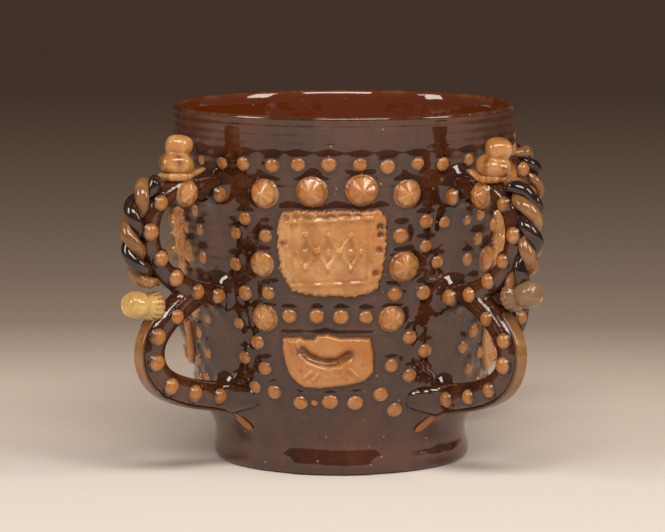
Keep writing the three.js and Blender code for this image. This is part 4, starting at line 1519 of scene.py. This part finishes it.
def red_glaze_paint():
    """The glaze of the cup and loops: colour, pools, painted dark reflection, wear, bare foot and gloss."""
    paint = Paint("red_glaze")
    colour = paint.mix(paint.layer("inside"), glaze_colour(paint), inner_glaze)
    # Pooled glaze and painted dark reflection round the pieces, darkest close to them
    colour = paint.mix(0.8 * paint.layer("pool_and_shade"), colour, pooled_glaze_and_shade)
    specks = paint.between(paint.cells(240), 0.13, 0.08) * paint.between(paint.noise(120, 2), 0.5, 0.58)
    colour = paint.mix(0.7 * specks, colour, speck_colour)
    wear = paint.layer("lip") * paint.between(paint.noise(190, 4, 0.7), 0.42, 0.62)
    colour = paint.mix(0.75 * wear, colour, worn_lip)
    colour = paint.mix(paint.layer("bare"), colour, bare_clay)
    rough = 0.02 + 0.06 * paint.noise(160, 3) + 0.2 * wear + 0.5 * paint.layer("bare")
    return paint.finish(colour, rough, glaze_normal(paint), glaze_ior)


red_glaze = red_glaze_paint()
print("nodes in the red glaze:", len(red_glaze.node_tree.nodes))

# %% [markdown]
# ## Glaze over pale clay
# Over the pale clay the same glaze is amber. It is almost clear on the high places, honey coloured on the
# flats and brown in every hollow, and iron in the clay makes small dark specks. The marks on the vertices
# say where there is pale clay ("pale"), where glaze pools in a hollow and where shade is painted on the
# pellets and the top bobbins ("pool_and_shade"), and where the colour is at its fullest ("rich"). On the
# rosettes the fullest colour is painted shade on their upper left side.

# %% The glaze over pale clay
clear_ior = 1.68
buff = (0.52, 0.215, 0.055)
pale_buff = (0.66, 0.35, 0.13)
honey = (0.38, 0.130, 0.020)
amber_brown = (0.17, 0.052, 0.006)
amber = (0.50, 0.160, 0.020)
butter = (0.62, 0.38, 0.10)
pale_butter = (0.74, 0.52, 0.20)
tan = (0.18, 0.09, 0.046)
strand_glaze = ((0.012, 0.005, 0.004), (0.05, 0.016, 0.010))


def pale_clay_paint(name, high, middle, low, deep, full, pink, dull):
    """Glazed pale clay, from its high places to its deepest hollows.

    Full is the colour of the places marked rich, pink the share of low in broad patches, and dull how much
    rougher the rich places are.
    """
    paint = Paint(name)
    patches = paint.noise(130, 4, 0.65)
    fine = paint.noise(700, 3, 0.6)
    tone = paint.between(0.65 * patches + 0.35 * fine, 0.36, 0.64)
    colour = paint.mix(tone, middle, high)
    colour = paint.mix(pink * paint.between(paint.noise(75, 2), 0.45, 0.65), colour, low)
    colour = paint.mix(paint.layer("rich"), colour, full)
    specks = paint.between(paint.cells(520), 0.16, 0.10) * paint.between(paint.noise(260, 2), 0.5, 0.6)
    # Pooled glaze in hollows, and painted shade on the pellets and the top bobbins
    pool_and_shade = paint.layer("pool_and_shade") * paint.between(paint.noise(210, 3), 0.2, 0.55)
    colour = paint.mix(0.92 * pool_and_shade, colour, deep)
    colour = paint.mix(0.7 * specks, colour, deep)
    # Round the foot of a piece the glaze is partly pooled and partly painted dark reflection
    under = paint.mix(0.6, glaze_colour(paint), pooled_glaze_and_shade)
    colour = paint.mix(paint.layer("pale"), under, colour)
    rough = 0.06 + 0.16 * paint.between(paint.noise(230, 3), 0.35, 0.65) + dull * paint.layer("rich")
    lumps = paint.bump(paint.noise(260, 3, 0.6), 0.0003, 0.6)
    grain = paint.bump(fine, 0.00006, 0.6, lumps)
    return paint.finish(colour, rough, grain, clear_ior)


pale_clay = pale_clay_paint("pale_clay", pale_buff, buff, honey, amber_brown, amber, 0.6, 0.22)
butter_clay = pale_clay_paint("butter_clay", pale_butter, butter, honey, amber_brown, tan, 0.3, 0)


def dark_strand_paint():
    """The nearly black glaze of the red strands."""
    paint = Paint("dark_strand")
    colour = paint.mix(paint.between(paint.noise(180, 3), 0.4, 0.65), *strand_glaze)
    rough = 0.03 + 0.06 * paint.noise(160, 3)
    return paint.finish(colour, rough, glaze_normal(paint), glaze_ior)


dark_strand = dark_strand_paint()
print("pale clays made")

# %% Give the pieces their finish
finishes = {
    "thrown_cup": red_glaze,
    "loops": red_glaze,
    "dark_rope": dark_strand,
    "side_bobbin": butter_clay,
}
all_pale = ("light_rope", "pinched_disc", "top_bobbin")
rope_pale = 0.62
rope_pool = 0.5
for name, piece in pieces.items():
    kind = next((kind for kind in finishes if name.endswith(kind)), None)
    piece.data.materials.clear()
    piece.data.materials.append(finishes.get(kind, pale_clay))
    if name.endswith(all_pale):
        is_rope = name.endswith("light_rope")
        all_over = np.ones(len(piece.data.vertices))
        mark(piece, "pale", all_over * (rope_pale if is_rope else 1.0))
        if is_rope:
            mark(piece, "pool_and_shade", all_over * rope_pool)
print("finished:", len(pieces), "pieces")

# %% [markdown]
# ## Taking the solids' place
# Every piece rides on the one body of the cup, and the solids that it stands for are hidden. Pellets stand
# for no solid, so they only ride.

# %% Say what each piece replaces
stands_for = {
    "loops": ("upper_loop", "lower_loop"),
    "loop_rosettes": ("upper_loop",),
    "dark_rope": ("dark_strand",),
    "light_rope": ("light_strand",),
    "band": ("strip",),
    "pinched_disc": ("crimped_disc",),
    "top_bobbin": ("top_finial",),
    "side_bobbin": ("side_finial",),
    "upper_stamp": ("upper_pad",),
    "lower_stamp": ("lower_pad",),
}


def nodes_of(name):
    """The solids that a piece stands for."""
    if name == "thrown_cup" or name.endswith("low_rosettes"):
        return ["cup"]
    for place in [*handles, *panels]:
        for kind, nodes in stands_for.items():
            if name == f"{place}_{kind}":
                return [f"{place}_{node}" for node in nodes]
        if name.startswith(f"{place}_rosette_"):
            return [name.replace("rosette", "prunt")]
    return []


for name, piece in pieces.items():
    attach(piece, "root")
    nodes = nodes_of(name)
    if nodes:
        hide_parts(*nodes)
replaced = {node for name in pieces for node in nodes_of(name)}
print("solids still showing:", sorted(set(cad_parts) - replaced))

# %% [markdown]
# ## The stage
# The cup stands on pale paper that rises behind it in a curve, so there is no corner to see. The paper gets
# darker towards the top of the picture: painted shade, a ramp of colour on the distance behind the cup. The
# lamps themselves stay plain.

# %% Lay the paper
paper_size = (7, 3.6, 1)
curve_steps = 10
curve_step = 0.16
curve_turn = 9
paper_rise = 2.2


def lay_paper():
    """A flat sheet whose far edge is extruded in a curve, and then straight up."""
    bpy.ops.mesh.primitive_plane_add(size=1)
    paper = bpy.context.object
    paper.name = "paper"
    paper.scale = paper_size
    bpy.ops.object.transform_apply(scale=True)
    bpy.ops.object.mode_set(mode="EDIT")
    bpy.ops.mesh.select_all(action="DESELECT")
    bpy.ops.object.mode_set(mode="OBJECT")
    far = [edge for edge in paper.data.edges if all(paper.data.vertices[v].co.y > 0 for v in edge.vertices)]
    far[0].select = True
    for vertex in far[0].vertices:
        paper.data.vertices[vertex].select = True
    bpy.ops.object.mode_set(mode="EDIT")
    for step in range(curve_steps):
        turn = math.radians(curve_turn * step + curve_turn / 2)
        rise = (0, curve_step * math.cos(turn), curve_step * math.sin(turn))
        bpy.ops.mesh.extrude_region_move(TRANSFORM_OT_translate={"value": rise})
    bpy.ops.mesh.extrude_region_move(TRANSFORM_OT_translate={"value": (0, 0, paper_rise)})
    bpy.ops.object.mode_set(mode="OBJECT")
    bpy.ops.object.shade_smooth()
    paper.select_set(False)
    return paper


paper = lay_paper()
print("paper:", len(paper.data.polygons), "faces")

# %% Paint the paper
bright_to = -0.1
sideways_share = 0.3
paper_reach = 3.2
# Painted light and shade of the paper: bright in front of the cup, darker farther behind it
paper_shade_tones = [
    (0.06, (0.94, 0.87, 0.80)),
    (0.13, (0.92, 0.80, 0.71)),
    (0.22, (0.92, 0.77, 0.67)),
    (0.32, (0.66, 0.54, 0.45)),
    (0.46, (0.39, 0.30, 0.235)),
    (0.64, (0.32, 0.233, 0.184)),
    (0.93, (0.26, 0.19, 0.14)),
    (1.4, (0.227, 0.15, 0.11)),
    (2.1, (0.175, 0.112, 0.08)),
    (3.2, (0.12, 0.08, 0.058)),
]


def paper_paint():
    """Dull paper with painted shade, darker with its distance behind the cup, and slowly to the sides."""
    paint = Paint("paper")
    place = paint.node("TexCoord", output=3)
    behind = paint.node("VectorMath", {"operation": "MAXIMUM"}, {0: place, 1: (-9, bright_to, -9)})
    offset = paint.node("VectorMath", {"operation": "SUBTRACT"}, {0: behind, 1: (0, bright_to, 0)})
    offset = paint.node("VectorMath", {"operation": "MULTIPLY"}, {0: offset, 1: (sideways_share, 1, 1)})
    away = paint.node("VectorMath", {"operation": "LENGTH"}, {0: offset}, 1)
    stops = [(metres / paper_reach, tone) for metres, tone in paper_shade_tones]
    colour = paint.ramp(away * (1 / paper_reach), stops)
    grain = paint.bump(paint.noise(900, 2), 0.0001, 0.3)
    return paint.finish(colour, 0.9, grain)


paper.data.materials.append(paper_paint())
print("tones of the paper:", len(paper_shade_tones))

# %% [markdown]
# ## Light
# A long soft light hangs high in front, and a weaker one fills in from each side. On a glossy glaze one
# sees the lamps themselves as highlights, so their size and place matter more than their strength.

# %% Hang the lights
lamp_colour = (1, 0.94, 0.87)
room_colour = (1.0, 0.88, 0.77, 1)
middle = (0, 0, 0.07)


def soft_light(name, place, width, height, power):
    """A rectangle of light that shines on the middle of the cup."""
    data = bpy.data.lights.new(name, "AREA")
    data.shape = "RECTANGLE"
    data.size = width
    data.size_y = height
    data.energy = power
    data.color = lamp_colour
    light = bpy.data.objects.new(name, data)
    bpy.context.collection.objects.link(light)
    light.location = place
    light.rotation_euler = (Vector(middle) - Vector(place)).to_track_quat("-Z", "Y").to_euler()


soft_light("front_lamp", (0.2, -1.1, 1.35), 1.2, 0.5, 18)
soft_light("left_lamp", (-1.5, -0.7, 0.9), 0.5, 0.8, 10)
soft_light("right_lamp", (1.5, -0.5, 1.0), 0.5, 0.8, 10)
world = bpy.data.worlds.new("room")
world.use_nodes = True
background = world.node_tree.nodes["Background"]
background.inputs["Color"].default_value = room_colour
background.inputs["Strength"].default_value = 0.14
bpy.context.scene.world = world
print("lights:", len(bpy.data.lights))

# %% [markdown]
# ## The camera
# The picture was taken with a long lens from a little above the rim: the ellipses of rim and foot give the
# height of the eye, and the two give its distance. It stands a few degrees to the right of the front panel.

# %% Place the camera
eye_distance = 1.343
eye_height = 0.25
eye_side = math.radians(3.5)
eye_down = math.radians(7.4)
aim_off = math.radians(0.16)
camera_data = bpy.data.cameras.new("camera")
camera_data.lens = 183.6
camera_data.sensor_width = 36
camera = bpy.data.objects.new("camera", camera_data)
bpy.context.collection.objects.link(camera)
camera.location = (eye_distance * math.sin(eye_side), -eye_distance * math.cos(eye_side), eye_height)
camera.rotation_euler = (math.pi / 2 - eye_down, 0, eye_side + aim_off)
bpy.context.scene.camera = camera
bpy.context.scene.view_settings.view_transform = "Standard"
